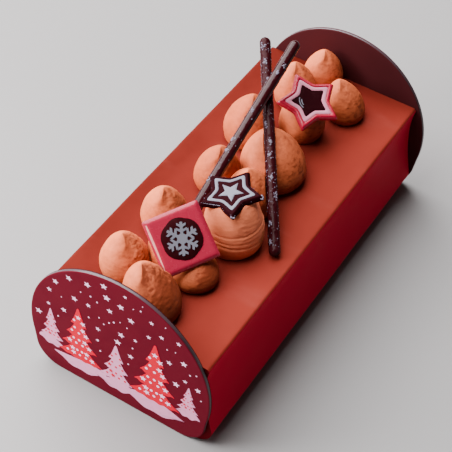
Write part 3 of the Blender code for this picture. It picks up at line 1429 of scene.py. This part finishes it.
@dataclass
class RedStar(MouldedStar):
    """Red star: a glossy rim, a pale pink band in its recess, a deeper dark heart and painted reflections
    on the heart.
    """

    glints: tuple[Point, ...] = ((5.3, 196.0, 262.0), (4.2, 206.0, 250.0))
    glint_shift: tuple[float, float] = (0.25, 0.45)
    glint_steps: int = 16
    band_gap: float = 0.004
    band_inner: float = 0.575
    band_sunk: float = 0.12
    heart_share: float = 0.60
    heart_rise: float = 0.04

    def glint_mesh(self) -> bpy.types.Mesh:
        """Painted reflections: thin pale arcs on the heart, each given by its radius, first and last angle.

        Returns:
            Their mesh.
        """
        arcs = []
        for radius, start, end in self.glints:
            outer = arc((0.0, 0.0), radius, start, end, self.glint_steps)
            inner = arc(self.glint_shift, radius, end, start, self.glint_steps)
            arcs.append(outer + inner)
        level = self.thickness - self.depth
        mesh = slabs("glints", arcs, -level - 0.12, -level + 0.05)
        mesh.transform(Matrix.Rotation(-math.pi / 2, 4, "X"))
        return mesh

    def build(self) -> None:
        """Add the star."""
        pose = self.pose()
        top = self.thickness
        put("star_red_body", self.body(), Paint.RED, "star_red", pose)
        band = self.band(self.recess - self.band_gap, self.band_inner, top - self.band_sunk)
        put("star_red_band", band, Paint.PINK_BUTTER, "star_red", pose)
        level = top - self.depth + self.heart_rise
        heart = self.heart(self.reach * self.heart_share, self.notch, level)
        put("star_red_heart", heart, Paint.DARK, "star_red", pose)
        # Painted reflections: pale arcs where the glossy heart would mirror the light.
        put("star_red_glints", self.glint_mesh(), Paint.GREY_BUTTER, "star_red", pose)


@dataclass
class DarkStar(MouldedStar):
    """Dark star: a slim pale outline, a small pale star in its middle, and pale blots that are painted
    highlights on its tips and left edge.
    """

    tips: tuple[float, ...] = (0.0, 288.0)
    tip_grains: int = 16
    tip_share: float = 0.93
    edge_tip: float = 216.0
    edge_notch: float = 252.0
    notch_share: float = 0.6
    edge_grains: int = 34
    rim_grains: int = 46
    seed: int = 5
    band_outer: float = 0.77
    band_inner: float = 0.61
    band_rise: float = 0.05
    heart_share: float = 0.40
    heart_notch: float = 0.44

    def frost(self) -> bpy.types.Mesh:
        """Pale blots as painted highlights on the tips that face right and front and along the left edge,
        and pale grains round the rim.

        Returns:
            The mesh of the blots and grains.
        """
        draw = np.random.default_rng(self.seed)
        spots = []
        for tip in self.tips:
            for _ in range(self.tip_grains):
                share = self.tip_share + 0.06 * draw.uniform(-1, 1)
                angle = tip + draw.normal(0.0, 2.0)
                spots.append((angle, share, draw.uniform(1.2, 1.9), draw.uniform(0.25, 0.6)))
        first, last = math.radians(self.edge_tip), math.radians(self.edge_notch)
        for share in np.linspace(0.0, 1.0, self.edge_grains):
            place = Vector((math.cos(first), math.sin(first))) * (1 - share) * self.tip_share
            place += Vector((math.cos(last), math.sin(last))) * share * self.notch_share
            angle = math.degrees(math.atan2(place.y, place.x))
            spots.append((angle, place.length, 2.2 + draw.uniform(-0.1, 0.1), draw.uniform(0.12, 0.3)))
        for _ in range(self.rim_grains):
            angle = draw.uniform(0, 360)
            swing = abs((angle + 36) % 72 - 36) / 36
            share = (self.tip_share - 0.36 * swing) * draw.uniform(0.93, 1.0)
            spots.append((angle, share, draw.uniform(1.4, 2.3), draw.uniform(0.1, 0.2)))
        return self.blots(spots)

    def build(self) -> None:
        """Add the star."""
        pose = self.pose()
        high = self.thickness + self.band_rise
        put("star_dark_body", self.body(), Paint.DARK, "star_dark", pose)
        band = self.band(self.band_outer, self.band_inner, high)
        put("star_dark_band", band, Paint.GREY_BUTTER, "star_dark", pose)
        heart = self.heart(self.reach * self.heart_share, self.heart_notch, high)
        put("star_dark_heart", heart, Paint.GREY_BUTTER, "star_dark", pose)
        # Painted highlights: pale blots on the tips and along the left edge.
        put("star_dark_frost", self.frost(), Paint.FROST, "star_dark", pose)


@dataclass
class Plaque(FlatTopping):
    """The square pink plaque, with a snowflake on a dark patch."""

    side: float = 27.0
    thickness: float = 3.2
    bevel: float = 1.6
    patch: float = 9.2
    flake: float = 7.6
    around: int = 240
    crease: float = 35.0
    lumps: float = 0.03
    lump_size: float = 6.0
    # Where the painted highlight strip lies on the left bevel, and its shape.
    highlight_low: float = 0.15
    highlight_high: float = 0.95
    highlight_points: int = 40
    highlight_width: float = 0.44
    highlight_taper: float = 0.55
    patch_points: int = 144
    patch_scallop: float = 0.05
    patch_rise: float = 0.18
    patch_sunk: float = 0.3
    flake_turn: float = 12.0
    flake_half: float = 0.62
    flake_rise: float = 0.4
    flake_sunk: float = 0.05

    def beyond(self, x: np.ndarray, y: np.ndarray) -> np.ndarray:
        """Distance outside the square; negative inside."""
        return np.maximum(np.abs(x), np.abs(y)) - self.side / 2

    def body(self) -> bpy.types.Mesh:
        """The plaque itself, with rounded corners and bevelled edges.

        Returns:
            The body's mesh.
        """
        half = self.side / 2
        square = spaced([(-half, -half), (half, -half), (half, half), (-half, half)], self.around)
        outline = rounded(square, 2)
        t, soft = self.thickness, self.bevel / half
        profile = (
            (0.5, 0.0), (1 - soft, 0.0), (1 - 0.4 * soft, 0.12), (1.0, 0.5), (1.0, t - 1.0),
            (1 - 0.12 * soft, t - 0.7), (1 - 0.9 * soft, t - 0.12), (1 - 1.15 * soft, t),
            (0.8, t), (0.55, t), (0.3, t), (0.1, t),
        )
        rings = np.array([np.column_stack([outline * s, np.full(len(outline), z)]) for s, z in profile])
        points = rings.reshape(-1, 3)
        lumps = self.lumps * unevenness(points, self.lump_size, 5.0)
        points[:, 2] += lumps * smooth_step(points[:, 2], 0.5, t)
        return lofted("plaque_body", rings, self.crease)

    def rubbed_edge(self) -> bpy.types.Mesh:
        """A painted highlight: a pale strip on the bevel of the left side.

        Returns:
            The strip's mesh.
        """
        half = self.side / 2
        low = np.array([self.highlight_low * self.bevel - half, self.thickness - 0.68])
        high = np.array([self.highlight_high * self.bevel - half, self.thickness - 0.10])
        out = np.array([low[1] - high[1], high[0] - low[0]]) / np.linalg.norm(high - low)
        rings = []
        for share in np.linspace(0.02, 0.98, self.highlight_points):
            width = self.highlight_width * math.sin(math.pi * share**0.8) ** 0.5 * (1 - self.highlight_taper * share)
            foot, crown = low + (high - low) * (0.5 - width), low + (high - low) * (0.5 + width)
            section = [foot - 0.1 * out, foot + 0.05 * out, crown + 0.05 * out, crown - 0.1 * out]
            y = (1 - 2 * share) * (half - self.bevel)
            rings.append([(x, y, z) for x, z in section])
        return lofted("rubbed_edge", np.array(rings), CREASE_FINE)

    def patch_mesh(self) -> bpy.types.Mesh:
        """The dark patch with a scalloped edge.

        Returns:
            The patch's mesh.
        """
        angles = np.linspace(0, 2 * math.pi, self.patch_points, endpoint=False)
        radius = self.patch * (1 + self.patch_scallop * np.abs(np.sin(3 * angles)))
        outline = np.column_stack([radius * np.cos(angles), radius * np.sin(angles)])
        low, high = self.thickness - self.patch_sunk, self.thickness + self.patch_rise
        profile = ((0.4, low), (1.0, low), (1.0, self.thickness + 0.1), (0.985, high), (0.5, high))
        rings = np.array([np.column_stack([outline * s, np.full(len(outline), z)]) for s, z in profile])
        return lofted("plaque_patch", rings, CREASE_MOULDED)

    def flake_outline(self) -> Outline:
        """A six-armed snowflake as one outline.

        Returns:
            The closed outline.
        """
        half, reach = self.flake_half, self.flake
        arm = [
            (reach * 0.30, half), (reach * 0.40, half), (reach * 0.52, half + 1.9),
            (reach * 0.52 + 1.05, half + 1.9), (reach * 0.56, half), (reach * 0.68, half),
            (reach * 0.80, half + 1.5), (reach * 0.80 + 1.0, half + 1.5), (reach * 0.85, half),
            (reach * 0.98, half),
        ]
        outline: Outline = []
        for step in range(6):
            angle = math.radians(60 * step + self.flake_turn)
            cosine, sine = math.cos(angle), math.sin(angle)
            for x, y in [(x, -y) for x, y in arm] + [(reach, 0.0)] + arm[::-1]:
                outline.append((x * cosine - y * sine, x * sine + y * cosine))
        return outline

    def flake_mesh(self) -> bpy.types.Mesh:
        """The snowflake as a thin raised tablet.

        Returns:
            The tablet's mesh.
        """
        low, high = -self.thickness - self.flake_rise, -self.thickness - self.flake_sunk
        mesh = slabs("plaque_flake", [self.flake_outline()], low, high)
        mesh.transform(Matrix.Rotation(-math.pi / 2, 4, "X"))
        return mesh

    def build(self) -> None:
        """Add the plaque."""
        pose = self.pose()
        put("plaque_body", self.body(), Paint.PINK, "plaque", pose)
        # A painted highlight on the left bevel.
        put("plaque_highlight", self.rubbed_edge(), Paint.RUBBED_BUTTER, "plaque", pose)
        put("plaque_patch", self.patch_mesh(), Paint.BROWN_BUTTER, "plaque", pose)
        put("plaque_flake", self.flake_mesh(), Paint.GREY_BUTTER, "plaque", pose)


@dataclass
class Stick:
    """A glossy chocolate stick with small pimples."""

    name: str
    low: Point
    high: Point
    seed: int
    coat: Paint
    pimples: int
    specks: int
    blots: int
    radius: float = 2.8
    around: int = 64
    along: int = 500
    dome_points: int = 12
    give: float = 8.0
    pimple_sizes: tuple[float, float] = (0.4, 0.9)
    pimple_rises: tuple[float, float] = (0.05, 0.2)
    slimmer: float = 0.12
    wave: float = 0.09
    wave_size: float = 4.0
    speck_sizes: tuple[float, float] = (0.14, 0.30)
    blot_sizes: tuple[float, float] = (0.22, 0.5)
    blot_grains: int = 14
    blot_swing: float = 0.9
    blot_spread: tuple[float, float] = (0.2, 0.8)
    frost_sunk: float = 0.14
    frost_flatness: float = 0.8

    def ends(self) -> tuple[Vector, Vector]:
        """Both tips in millimetres."""
        lift = Vector((0, 0, CAKE_TOP))
        return Vector(self.low) + lift, Vector(self.high) + lift

    def ceiling(self, points: np.ndarray) -> np.ndarray:
        """The height that cream may reach under and beside the stick.

        Args:
            points: Points in millimetres, one a row.

        Returns:
            A height in millimetres for each point.
        """
        low, high = (np.array(end) for end in self.ends())
        flat = (high - low)[:2]
        run = np.linalg.norm(flat)
        offsets = points[:, :2] - low[:2]
        share = np.clip(offsets @ flat / run**2, 0.0, 1.0)
        aside = np.linalg.norm(offsets - share[:, None] * flat, axis=1)
        axis_height = low[2] + share * (high[2] - low[2])
        reach = self.radius + GAP
        under = np.sqrt(np.maximum(reach**2 - aside**2, 0.0)) * math.hypot(run, high[2] - low[2]) / run
        return axis_height - under + self.give * np.maximum(aside - reach, 0.0)

    def mesh(self) -> bpy.types.Mesh:
        """The stick along its own Z, centred.

        Returns:
            The stick's mesh.
        """
        low, high = self.ends()
        half = (high - low).length / 2
        dome = np.linspace(0, math.pi / 2, self.dome_points)[:-1]
        stations = [(-half + self.radius * (1 - math.cos(a)), self.radius * math.sin(a)) for a in dome]
        straight = np.linspace(-half + self.radius, half - self.radius, self.along)
        profile = stations[1:] + [(z, self.radius) for z in straight]
        profile += [(-z, r) for z, r in reversed(stations[1:])]
        heights = np.array([z for z, _ in profile])
        radii = np.array([r for _, r in profile])
        angles = np.linspace(0, 2 * math.pi, self.around, endpoint=False)
        draw = np.random.default_rng(self.seed)
        relief = np.zeros((len(heights), self.around))
        for _ in range(self.pimples):
            z, angle = draw.uniform(-half, half), draw.uniform(0, 2 * math.pi)
            size, rise = draw.uniform(*self.pimple_sizes), draw.uniform(*self.pimple_rises)
            turn = (angles - angle + math.pi) % (2 * math.pi) - math.pi
            distance = np.hypot((heights - z)[:, None], self.radius * turn[None, :]) / size
            relief = np.maximum(relief, rise * np.clip(1 - distance**2, 0.0, 1.0))
        rings = np.empty((len(heights), self.around, 3))
        rings[:, :, 0] = np.cos(angles)
        rings[:, :, 1] = np.sin(angles)
        rings[:, :, 2] = heights[:, None]
        skin = (rings * (2.6, 2.6, 1.0)).reshape(-1, 3)
        waves = unevenness(skin, self.wave_size, self.seed, 2).reshape(relief.shape)
        across = radii[:, None] - self.slimmer + self.wave * waves
        across = across + relief * (radii[:, None] / self.radius)
        rings[:, :, 0] *= across
        rings[:, :, 1] *= across
        return lofted(self.name, rings, CREASE_ROUND)

    def turned(self) -> Matrix:
        """How the stick is turned, from its own Z to its direction."""
        low, high = self.ends()
        return (high - low).to_track_quat("Z", "Y").to_matrix().to_4x4()

    def frost(self) -> bpy.types.Mesh:
        """Pale sugar specks all over the stick, and blots of them on its upper side.

        Returns:
            The frost's mesh.
        """
        low, high = self.ends()
        half = (high - low).length / 2 - self.radius
        upward = self.turned().inverted() @ Vector((0, 0, 1))
        top = math.atan2(upward.y, upward.x)
        draw = np.random.default_rng(self.seed + 100)
        spots = [
            (draw.uniform(-half, half), draw.uniform(0, 2 * math.pi), draw.uniform(*self.speck_sizes))
            for _ in range(self.specks)
        ]
        for order in range(self.blots):
            z = half * (2 * (order + draw.uniform(0.1, 0.9)) / self.blots - 1)
            angle = top + draw.uniform(-self.blot_swing, self.blot_swing)
            for _ in range(self.blot_grains):
                aside, along = (draw.normal(0.0, spread) for spread in self.blot_spread)
                spots.append((z + along, angle + aside, draw.uniform(*self.blot_sizes)))
        shape = bmesh.new()
        away = self.radius - self.frost_sunk
        for z, angle, size in spots:
            place = Vector((away * math.cos(angle), away * math.sin(angle), z)) * MM
            direction = Vector((math.cos(angle), math.sin(angle), 0))
            outward = direction.to_track_quat("Z", "Y").to_matrix().to_4x4()
            squash = Matrix.Diagonal((1.0, draw.uniform(0.7, 1.3), self.frost_flatness, 1.0))
            matrix = Matrix.Translation(place) @ outward @ squash
            bmesh.ops.create_icosphere(shape, subdivisions=2, radius=size * MM, matrix=matrix)
        mesh = bpy.data.meshes.new(f"{self.name}_frost")
        shape.to_mesh(mesh)
        shape.free()
        mesh.shade_smooth()
        return mesh

    def build(self) -> None:
        """Add the stick."""
        low, high = self.ends()
        pose = Matrix.Translation((low + high) / 2 * MM) @ self.turned()
        put(f"{self.name}_coat", self.mesh(), self.coat, self.name, pose)
        put(f"{self.name}_frost", self.frost(), Paint.FROST, self.name, pose)


# Cream


@dataclass(frozen=True)
class CreamForm:
    """What all dollops share: their profile and the resolution of their mesh."""

    around: int = 144
    rings: int = 96
    belly_level: float = 0.26
    foot_share: float = 0.84
    peak_power: float = 0.78
    lean_power: float = 1.7
    seam_softness: float = 0.7
    crest_left: float = 0.8
    flat_angle: float = 0.65
    crest_low: float = 0.66
    crest_high: float = 0.97
    crest_blur: float = 0.55
    crest_curl: float = 1.1
    crest_copies: int = 9
    flat_turn: float = 1.9
    flat_fade: float = 2.4
    flat_dip: float = 2.2
    rise_power: float = 1.15
    peak_rise: float = 0.9985
    coil_swing: float = 0.03
    coil_width: float = 0.014
    coil_step: float = 0.008
    lump: float = 0.28
    lump_size: float = 9.0
    pit: float = 0.42
    pit_size: float = 2.8
    grit: float = 0.08
    grit_size: float = 0.9
    least_roughness: float = 0.3

    def profile(self, rise: np.ndarray, fullness: float) -> np.ndarray:
        """Share of the full radius at each share of the height.

        Args:
            rise: Shares of the height.
            fullness: How much rounder than usual the peak is, from 0 to 1.

        Returns:
            A share of the radius for each.
        """
        fall = (self.belly_level - rise) / self.belly_level
        foot = 1 - (1 - self.foot_share) * np.maximum(fall, 0.0) ** 2
        climb = np.clip((rise - self.belly_level) / (1 - self.belly_level), 0.0, 1.0)
        power = self.peak_power * (1 - 0.5 * fullness)
        return np.where(rise < self.belly_level, foot, (1 - climb**2) ** power)

    def crest(self, rise: np.ndarray, swing: np.ndarray) -> np.ndarray:
        """Growth of the radius round a crest, which curls and softens below the peak.

        Args:
            rise: Shares of the height.
            swing: Angle from the crest in radians, positive on its right.

        Returns:
            A growth for each share of the height and each angle.
        """
        below = 1 - smooth_step(rise, self.crest_low, self.crest_high)
        curled = swing + self.crest_curl * (1 - rise)
        shifts = np.linspace(-1, 1, self.crest_copies)
        edges = [self.edge(curled + self.crest_blur * below * shift) for shift in shifts]
        return (1 - below) * np.mean(edges, axis=0)

    def edge(self, swing: np.ndarray) -> np.ndarray:
        """Growth round a sharp crest: a gentle slope on its left, a flat side on its right.

        Args:
            swing: Angle from the crest in radians, positive on its right.

        Returns:
            1 on the crest, below 0 in the middle of the flat side and 0 far from both.
        """
        left = np.exp(-((swing / self.crest_left) ** 2))
        across = np.clip(swing, 0.0, self.flat_turn * self.flat_angle) - self.flat_angle
        flat = np.cos(self.flat_angle) / np.cos(across)
        dip = (flat - 1) / (1 - np.cos(self.flat_angle))
        fade = smooth_step(swing, self.flat_angle, self.flat_fade * self.flat_angle)
        right = (1 + self.flat_dip * dip) * (1 - fade)
        return np.where(swing < 0, left, right)


@dataclass(frozen=True)
class Dollop:
    """One piped dollop: its place, its size, the lean of its peak and its crest."""

    x: float
    y: float
    radius: float
    height: float
    lean_x: float
    lean_y: float
    keel: float = -62.0
    crease: float = 0.2
    coils: tuple[float, ...] = (0.16,)
    groove: float = 0.016
    fullness: float = 0.0
    roughness: float = 0.35
    # Which copy of the cream it gets; the copies paint in light and shade.
    cream_copy: Paint = Paint.CREAM

    def shape(self, form: CreamForm, seed: float) -> np.ndarray:
        """The dollop before it meets its neighbours.

        Args:
            form: What all dollops share.
            seed: Which part of the noise it uses.

        Returns:
            Rings of points in millimetres.
        """
        rise = np.sin(np.linspace(0.0, math.pi / 2, form.rings))[:, None] ** form.rise_power
        rise = np.minimum(rise, form.peak_rise)
        angles = np.linspace(0, 2 * math.pi, form.around, endpoint=False)[None, :]
        swing = (angles - math.radians(self.keel) + math.pi) % (2 * math.pi) - math.pi
        share = form.profile(rise, self.fullness) * np.ones_like(angles)
        share = share * (1 + self.crease * form.crest(rise, swing))
        for index, level in enumerate(self.coils):
            place = level + form.coil_swing * np.cos(angles - 1.2 - index)
            fade = 0.55 + 0.45 * np.cos(angles + 1.0 + 2.0 * index + self.x)
            away = (rise - place) / form.coil_width
            share = share * (1 + form.coil_step * fade * (1 - np.tanh(away)))
            share = share * (1 - self.groove * fade * np.exp(-(away**2)))
        across = self.radius * share
        rings = np.empty((form.rings, form.around, 3))
        rings[:, :, 0] = self.x + across * np.cos(angles) + self.lean_x * rise**form.lean_power
        rings[:, :, 1] = self.y + across * np.sin(angles) + self.lean_y * rise**form.lean_power
        rings[:, :, 2] = self.height * rise
        points = rings.reshape(-1, 3)
        rough_side = smooth_step(swing, 0.0, 0.3) * (1 - smooth_step(swing, 1.9, 2.6))
        rough = (rough_side * smooth_step(rise, 0.3, 0.55) * (1 - smooth_step(rise, 0.93, 1.0))).reshape(-1)
        lumps = form.lump * unevenness(points, form.lump_size, seed, 2)
        pits = np.abs(unevenness(points * (0.7, 0.7, 1.5), form.pit_size, seed + 3.3, 3)) - 0.3
        grit = unevenness(points, form.grit_size, seed + 7.1, 2)
        crags = (form.least_roughness + self.roughness * rough) * (form.pit * pits + form.grit * grit)
        turns = angles.repeat(form.rings, 0).ravel()
        outward = np.column_stack([np.cos(turns), np.sin(turns)])
        fade = (1 - smooth_step(rise, 0.9, 1.0)).repeat(form.around, 1).ravel()
        points[:, :2] += outward * ((lumps + crags) * fade)[:, None]
        return rings


# Dollops 2 and 4 take a cream copy with deeper painted shade on their +X sides, dollops 7 and 10 one with a
# darker lit side as painted shade, and dollop 6, under the dark star, one that is lighter on its +X sides
# as painted light.
DOLLOPS = (
    Dollop(-17.4, -73.5, 11.6, 20.5, -3.4, 2.0, keel=-34.0, roughness=0.8),
    Dollop(4.8, -85.5, 13.2, 22.5, -8.0, 3.0, keel=-56.0, roughness=0.8, cream_copy=Paint.DARK_CREAM),
    Dollop(-4.5, -59.5, 9.6, 24.0, -1.0, 1.0),
    Dollop(10.6, -60.0, 11.0, 12.8, -2.0, 2.0, crease=0.0, cream_copy=Paint.DARK_CREAM),
    Dollop(-19.0, -39.8, 11.2, 21.0, -2.2, 1.6, roughness=0.6),
    Dollop(
        12.4, -31.0, 14.0, 29.0, -3.0, 3.0,
        crease=0.0, coils=(0.08, 0.15, 0.21, 0.28, 0.34, 0.41, 0.49), groove=0.034, fullness=0.8,
        cream_copy=Paint.PALE_CREAM,
    ),
    Dollop(-12.8, -3.8, 11.6, 21.0, -1.2, 3.0, cream_copy=Paint.WARM_CREAM),
    Dollop(8.0, -9.0, 12.0, 22.0, -3.0, 1.5),
    Dollop(6.6, 15.9, 16.0, 23.0, -6.0, 5.0),
    Dollop(-17.4, 32.5, 12.8, 23.0, -1.5, 5.0, cream_copy=Paint.WARM_CREAM),
    Dollop(2.4, 51.2, 11.6, 23.0, -1.5, 1.0),
    Dollop(-11.3, 69.4, 11.2, 21.0, -4.0, 3.5),
    Dollop(14.5, 74.8, 10.3, 19.0, -6.0, 1.5, coils=(0.3,)),
    Dollop(-6.2, 88.6, 10.6, 20.0, -2.0, 2.5),
)


@dataclass
class CreamRows:
    """The dollops, pressed against each other, the panels and the toppings."""

    form: CreamForm = field(default_factory=CreamForm)
    seam: float = 0.3
    free_share: float = 0.7
    lift: float = 0.05
    ceiling_softness: float = 0.5

    def press_aside(self, points: np.ndarray, dollop: Dollop) -> None:
        """Ease a dollop's points back from its neighbours and from the panels.

        Args:
            points: The dollop's points in millimetres, changed in place.
            dollop: The dollop.
        """
        walls = []
        for other in DOLLOPS:
            distance = math.hypot(other.x - dollop.x, other.y - dollop.y)
            if other is dollop or distance > dollop.radius + other.radius + 1:
                continue
            away = np.array([other.x - dollop.x, other.y - dollop.y]) / distance
            limit = distance * dollop.radius / (dollop.radius + other.radius) - self.seam / 2
            free = np.maximum(points[:, 2] - self.free_share * other.height, 0.0)
            walls.append((away, limit + free))
        for side in Side:
            limit = PANEL_INNER - side.value * dollop.y - self.seam
            walls.append((np.array([0.0, side.value]), limit))
        for away, limit in walls:
            reach = (points[:, :2] - (dollop.x, dollop.y)) @ away
            points[:, :2] += np.outer(soft_limit(reach, limit, self.form.seam_softness) - reach, away)

    def build(self, ceilings: list[Callable[[np.ndarray], np.ndarray]]) -> None:
        """Add every dollop.

        Args:
            ceilings: The height that each topping leaves to the cream.
        """
        for number, dollop in enumerate(DOLLOPS, start=1):
            rings = dollop.shape(self.form, float(number))
            points = rings.reshape(-1, 3)
            self.press_aside(points, dollop)
            points[:, 2] += CAKE_TOP + self.lift
            for ceiling in ceilings:
                held = soft_limit(points[:, 2], ceiling(points), self.ceiling_softness)
                points[:, 2] = np.maximum(held, CAKE_TOP + self.lift)
            name = f"cream_{number:02d}"
            mesh = lofted(name, rings, CREASE_ROUND)
            put(name, mesh, dollop.cream_copy, f"dollop_{number:02d}")


# Studio


@dataclass(frozen=True)
class SoftLight:
    """A square soft light that shines on the cake."""

    name: str
    toward: Point
    distance: float
    size: float
    power: float
    colour: Colour = (1.0, 1.0, 1.0)

    def build(self) -> None:
        """Add the light."""
        lamp = bpy.data.lights.new(self.name, "AREA")
        lamp.shape = "SQUARE"
        lamp.size = self.size
        lamp.energy = self.power
        lamp.color = self.colour
        light = bpy.data.objects.new(self.name, lamp)
        bpy.context.scene.collection.objects.link(light)
        direction = Vector(self.toward).normalized()
        light.location = direction * self.distance + Vector((0, 0, CAKE_TOP * MM))
        light.rotation_euler = direction.to_track_quat("Z", "Y").to_euler()


@dataclass(frozen=True)
class Studio:
    """Floor, lights and camera."""

    camera_place: Point = (0.1964, -0.3818, 0.4910)
    camera_azimuth: float = 28.18
    camera_elevation: float = 47.24
    camera_roll: float = 4.76
    camera_lens: float = 102.26
    camera_sensor: float = 36.0
    floor_half: float = 3.0
    floor_drop: float = 0.0002
    ambient: Colour = (1.0, 0.84, 0.82)
    ambient_strength: float = 0.09
    lights: tuple[SoftLight, ...] = (
        SoftLight("key", (-0.62, 0.10, 0.78), 1.3, 1.9, 138.0),
        SoftLight("front", (-0.62, -0.60, 0.46), 0.5, 0.2, 3.4),
        SoftLight("panel", (-0.25, -0.85, 0.02), 0.5, 0.10, 0.7),
    )

    def add_floor(self) -> None:
        """Add the floor."""
        shape = bmesh.new()
        bmesh.ops.create_grid(shape, x_segments=8, y_segments=8, size=self.floor_half)
        mesh = bpy.data.meshes.new("floor")
        shape.to_mesh(mesh)
        shape.free()
        mesh.materials.append(StudioFloor().make())
        floor = bpy.data.objects.new("floor", mesh)
        floor.location.z = -self.floor_drop
        bpy.context.scene.collection.objects.link(floor)

    def add_camera(self) -> None:
        """Add the camera at the photo's place, slightly rolled."""
        data = bpy.data.cameras.new("camera")
        data.lens = self.camera_lens
        data.sensor_width = self.camera_sensor
        camera = bpy.data.objects.new("camera", data)
        bpy.context.scene.collection.objects.link(camera)
        turned = Matrix.Rotation(math.radians(self.camera_azimuth), 4, "Z")
        tilted = Matrix.Rotation(math.radians(90 - self.camera_elevation), 4, "X")
        rolled = Matrix.Rotation(math.radians(self.camera_roll), 4, "Z")
        camera.matrix_world = Matrix.Translation(self.camera_place) @ turned @ tilted @ rolled
        bpy.context.scene.camera = camera

    def add_ambient(self) -> None:
        """Light the scene evenly from all round."""
        world = bpy.data.worlds.new("studio")
        world.use_nodes = True
        background = world.node_tree.nodes["Background"]
        background.inputs["Color"].default_value = (*self.ambient, 1.0)
        background.inputs["Strength"].default_value = self.ambient_strength
        bpy.context.scene.world = world

    def build(self) -> None:
        """Set up the whole studio."""
        self.add_camera()
        self.add_floor()
        self.add_ambient()
        for light in self.lights:
            light.build()
        log.info("studio: %d lights", len(self.lights))


def main() -> None:
    """Build the cake, its panels, toppings and cream, then the studio."""
    logging.basicConfig(level=logging.INFO, format="%(name)s: %(message)s")
    Studio().build()
    CakeBody().build()
    for side in Side:
        EndPanel(side).build()
    sticks = (
        Stick(
            "stick_lower", (34.6, -30.6, 2.3), (-27.1, 59.4, 40.0), 21, Paint.STICK,
            pimples=320, specks=300, blots=11,
        ),
        Stick(
            "stick_upper", (-4.0, -51.1, 10.7), (-10.9, 62.0, 43.5), 22, Paint.GLOSSY_STICK,
            pimples=70, specks=40, blots=7,
        ),
    )
    red_star = RedStar((4.6, 50.9, 20.0), (0.27, -0.275), 0.2, reach=16.3)
    dark_star = DarkStar((8.2, -27.8, 24.0), (-0.125, -0.094), 16.7, reach=15.25, depth=0.1)
    plaque = Plaque((1.0, -58.3, 18.0), (0.612, -0.449), 55.4)
    toppings = (*sticks, red_star, dark_star, plaque)
    for topping in toppings:
        topping.build()
    CreamRows().build([topping.ceiling for topping in toppings])


if __name__ == "__main__":
    main()
